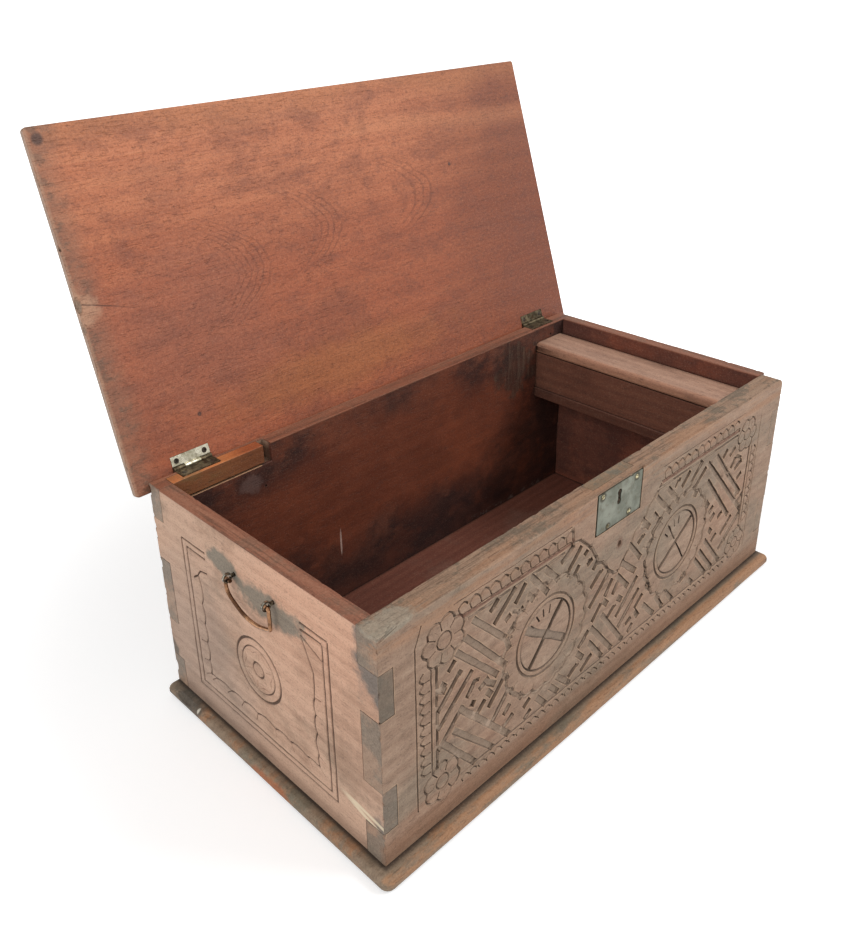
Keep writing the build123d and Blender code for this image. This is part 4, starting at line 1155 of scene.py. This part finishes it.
lid = Finish("lid_finish")
off_hinge = lid.add("Mapping", {"Vector": lid.place, "Location": -hinge_line})
lid.place = lid.add("Mapping", {"Vector": off_hinge, "Rotation": (open_angle, 0, 0)})
lid.grain(X, heart=(0.0, -0.16, -0.05), ring=17 * MM, sway=16.0, plain=0.84, seed=67.0)
lid.colour = lid.shade(lid.figure, (134, 72, 44), (192, 116, 80), (226, 152, 108))
lid.coat(lid.past(Y, 0.12, -0.19, -0.07), 0.8, (108, 50, 31), (163, 85, 55), (194, 112, 73))
lid.coat(lid.past(X, 0.20, 0.16, 0.36), 0.75, (90, 44, 28), (136, 71, 44))
blotch = lid.clouds((9, 13, 9), 0.46, 0.62, detail=7, rough=0.7, warp=1.2, shift=71)
lid.coat(blotch, 0.45, (96, 52, 40), (148, 85, 62))
cloud = lid.clouds((40, 56, 40), 0.48, 0.66, detail=6, rough=0.75, shift=73)
lid.coat(cloud, 0.42, (92, 50, 40), (140, 80, 60))
plum = lid.spot((-0.20, -0.10, 0), (0.09, 0.07, 0.02), ragged=0.9, waves=24, soft=0.6)
lid.coat(plum, 0.4, (114, 68, 56), (172, 110, 88))
flame = lid.spot((-0.05, -0.035, 0), (0.12, 0.022, 0.02), ragged=0.9, waves=28, soft=0.6)
lid.coat(flame, 0.6, (150, 84, 46), (206, 128, 76))
lid.coat(lid.past(Y, 0.06, -0.235, -0.265), 0.45, (164, 98, 58), (218, 148, 102))
# A paler band runs a little aslant near the free edge, on the right only.
band = lid.maths("ADD", lid.maths("MULTIPLY", lid.axis(X), -0.06), lid.axis(Y))
band = lid.maths("ADD", band, lid.maths("MULTIPLY", lid.patch, 0.02))
near_band = lid.overlap(lid.step(band, -0.262, -0.246), lid.step(band, -0.230, -0.246))
on_right = lid.step(lid.axis(X), -0.02, 0.06)
lid.coat(lid.overlap(near_band, on_right), 0.3, (216, 144, 102))
fine = lid.noise((260, 360, 260), detail=5, rough=0.75, shift=79)
lid.coat(lid.step(fine, 0.50, 0.66), 0.42, (88, 46, 32))
lid.coat(lid.step(fine, 0.46, 0.30), 0.24, (214, 146, 106))
# Each set of growth lines: its tip, its pitch, how fast it opens, how far it runs and half its width.
arches = (
    ((-0.100, -0.150), 8 * MM, 22.0, 0.060, 0.060),
    ((-0.005, -0.170), 9 * MM, 26.0, 0.055, 0.050),
    ((0.130, -0.180), 12 * MM, 30.0, 0.060, 0.050),
)
for arch in arches:
    lid.coat(growth_arches(lid, *arch), 0.55, (96, 48, 32))
left_edge = lid.past(X, 0.05, -0.235, -0.262)
lid.coat(left_edge, 0.55, (104, 74, 60), (164, 124, 100))
scuffs = lid.clouds((60, 90, 60), 0.50, 0.60, detail=6, rough=0.7, shift=83)
lid.coat(lid.overlap(scuffs, left_edge), 0.5, (88, 76, 64))
# Three dark spots of old damage: their place, and their reach in millimetres.
for x, y, reach in ((-0.283, -0.287, 5), (0.155, -0.199, 2), (-0.215, -0.038, 2)):
    lid.coat(lid.spot((x, y, 0), (reach * MM, reach * MM, 10 * MM), ragged=0.2), 0.8, (58, 42, 40))
torn = lid.spot((-0.286, -0.152, 0), (0.010, 0.014, 0.02), ragged=0.9, waves=90)
lid.coat(torn, 0.7, lid.shade(lid.streak, (150, 100, 74), (222, 178, 146)))
# A hair crack runs in from the left edge.
crack = lid.maths("ADD", lid.axis(Y), lid.maths("MULTIPLY", lid.axis(X), -0.30))
crack = lid.maths("ABSOLUTE", lid.maths("ADD", crack, lid.maths("MULTIPLY", lid.patch, 0.012)))
crack = lid.maths("ABSOLUTE", lid.maths("SUBTRACT", crack, 0.062))
crack = lid.overlap(lid.step(crack, 0.9 * MM, 0.3 * MM), lid.step(lid.axis(X), -0.240, -0.272))
crack = lid.overlap(crack, lid.step(lid.axis(Y), -0.09, -0.11))
lid.coat(crack, 0.7, (66, 38, 30))
lid_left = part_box("lid_board")[0].x
# Painted highlight, with rubbing, along the lid's left arris.
rubbed_and_highlit_arris = lid.step(lid.axis(X), lid_left + 3.7 * MM, lid_left + 1.2 * MM)
lid.coat(rubbed_and_highlit_arris, 0.6, lid.shade(lid.streak, (120, 84, 66), (214, 172, 142)))
outside = lid.step(lid.axis(Z), 0.9 * MM, 3.5 * MM)
lid.coat(outside, 1.0, (104, 82, 66), (150, 124, 104), (182, 156, 134))
lid.aged(pores=0.22, flecks=0.25, grime_and_shade=0.6)
lid_mesh = worn_copy("lid_board", arris=0.7 * MM, wander=0.4 * MM)
up_lid = Vector((0, -math.cos(open_angle), math.sin(open_angle)))
edge_foot = Vector((lid_left, hinge_line.y, hinge_line.z))
lid_cuts = [
    nick(edge_foot + up_lid * 0.156, mm(5, 5, 9), 61),
    nick(edge_foot + up_lid * 0.136, mm(3, 4, 6), 62),
]
lid_cuts += knocks(edge_foot + up_lid * 0.01, edge_foot + up_lid * 0.28, 22, mm(1.6, 3, 7), 63)
lid_mesh = cut_away(lid_mesh, lid_cuts)
stand_in(lid_mesh, "plank_lid", "lid_board", lid.done(0.5))

# -------------------------------------------------------------------------------------------- the hinges
# Two small steel butt hinges with interleaved rolled knuckles, let into the lid and the back rim and held by
# countersunk screws. The left lid leaf keeps its nickel; the other leaves have gone brown.


def metal(name, dark, light, roughness, waves, speckle=None, share=0.75, stains=()):
    """Old metal: two tones in cloudy patches, speckled with tarnish and stained about given places."""
    finish = Finish(name)
    cloud = finish.noise(waves, detail=6, shift=len(name))
    finish.colour = finish.shade(finish.step(cloud, 0.35, 0.65), dark, light)
    pits = finish.clouds(900, 0.60, 0.70, detail=3, shift=5)
    finish.coat(pits, 0.7 * share, tuple(c * 0.35 for c in tone(*dark)[:3]) + (1.0,))
    if speckle:
        tarnish = finish.clouds(210, 0.52, 0.62, detail=6, shift=13)
        finish.coat(tarnish, share, speckle)
    for centre, reach in stains:
        stain = finish.spot(centre, (reach, 8 * MM, reach), ragged=0.25, waves=300, soft=0.3)
        finish.coat(stain, 0.75, (62, 54, 40))
    # Painted shade, with grime, in the hollows of the metal.
    finish.coat(finish.shaded_crevice(1.5 * MM), 0.7, (30, 25, 20))
    finish.shader.inputs["Metallic"].default_value = 1.0
    finish.streak, finish.pore = finish.noise(700, detail=4, shift=17), pits
    rubbed = finish.step(cloud, 0.3, 0.7, roughness + 0.15, roughness - 0.08)
    return finish.done(rubbed, relief=0.06 * MM, gloss=0.5)


def dress(node, material):
    """Gives a solid that stays as it is its finish."""
    slots = frame["nodes"][node].data.materials
    slots.clear()
    slots.append(material)


nickel = metal(
    "nickel_finish", (160, 154, 130), (226, 220, 198), 0.34, 160, speckle=(104, 92, 68), share=0.4
)
brown_steel = metal("brown_steel_finish", (70, 62, 48), (116, 104, 82), 0.55, 160, speckle=(64, 44, 30))
dark_iron = metal("dark_iron_finish", (40, 36, 32), (92, 84, 74), 0.5, 300, speckle=(58, 40, 30))
for side, lid_metal in (("left", nickel), ("right", brown_steel)):
    dress(side + "_hinge_lid_leaf", lid_metal)
    dress(side + "_hinge_pin", lid_metal)
    dress(side + "_hinge_rim_leaf", brown_steel)
dress("hinge_rim_screws", dark_iron)
dress("hinge_lid_screws", dark_iron)

# ---------------------------------------------------------------------------------------------- the lock
# A flat iron plate is let in flush over the keyhole and nailed at its corners, three of the nails being newer
# domed brass. Behind it a small case, closed by a screwed cap, holds the bolt and its bow spring.
plate_low, plate_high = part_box("lock_plate")
nail_rings = [
    ((-29.4 * MM, plate_low.y, 217.1 * MM), 4.4 * MM),
    ((19.3 * MM, plate_low.y, 216.5 * MM), 3.8 * MM),
    ((10.9 * MM, plate_low.y, 186.0 * MM), 3.7 * MM),
    ((-19.6 * MM, plate_low.y, 185.0 * MM), 3.4 * MM),
]
plate_grey = metal(
    "lock_plate_finish",
    (114, 116, 105),
    (130, 132, 120),
    0.55,
    60,
    speckle=(94, 86, 70),
    share=0.35,
    stains=nail_rings,
)
works_iron = metal("lock_works_finish", (24, 22, 20), (52, 48, 44), 0.6, 200, speckle=(40, 30, 24))
brass = metal(
    "dome_nail_finish", (66, 58, 40), (196, 186, 148), 0.26, 500, stains=[(nail_rings[3][0], 4 * MM)]
)
plate_mesh = worn_copy("lock_plate", arris=0.25 * MM, wander=0.12 * MM, pitch=7 * MM, shortest=5 * MM)
plate_cuts = [nick((0.012, plate_low.y, plate_high.z), mm(1.6, 3, 1.4), 31)]
stand_in(cut_away(plate_mesh, plate_cuts), "lock_face_plate", "lock_plate", plate_grey)
dress("lock_plate_nails", brass)
for node in ("lock_case", "lock_bolt", "lock_spring", "lock_cap"):
    dress(node, works_iron)
dress("lock_cap_screws", dark_iron)

# ------------------------------------------------------------------------------------------- the handles
# On each end a bail, bent from a thin coppery bar hammered to eight flats, hangs in two split pins of iron
# strip, whose legs pass through the board and are turned over inside. The base nails are square and forged.
copper = metal("bail_finish", (84, 58, 42), (164, 122, 90), 0.2, 60, speckle=(66, 46, 34), share=0.3)
dark_steel = metal("eye_finish", (56, 52, 47), (170, 163, 148), 0.2, 500)
for side in ("left", "right"):
    dress(side + "_bail_handle", copper)
    dress(side + "_handle_eyes", dark_steel)
dress("bottom_board_nails", dark_iron)
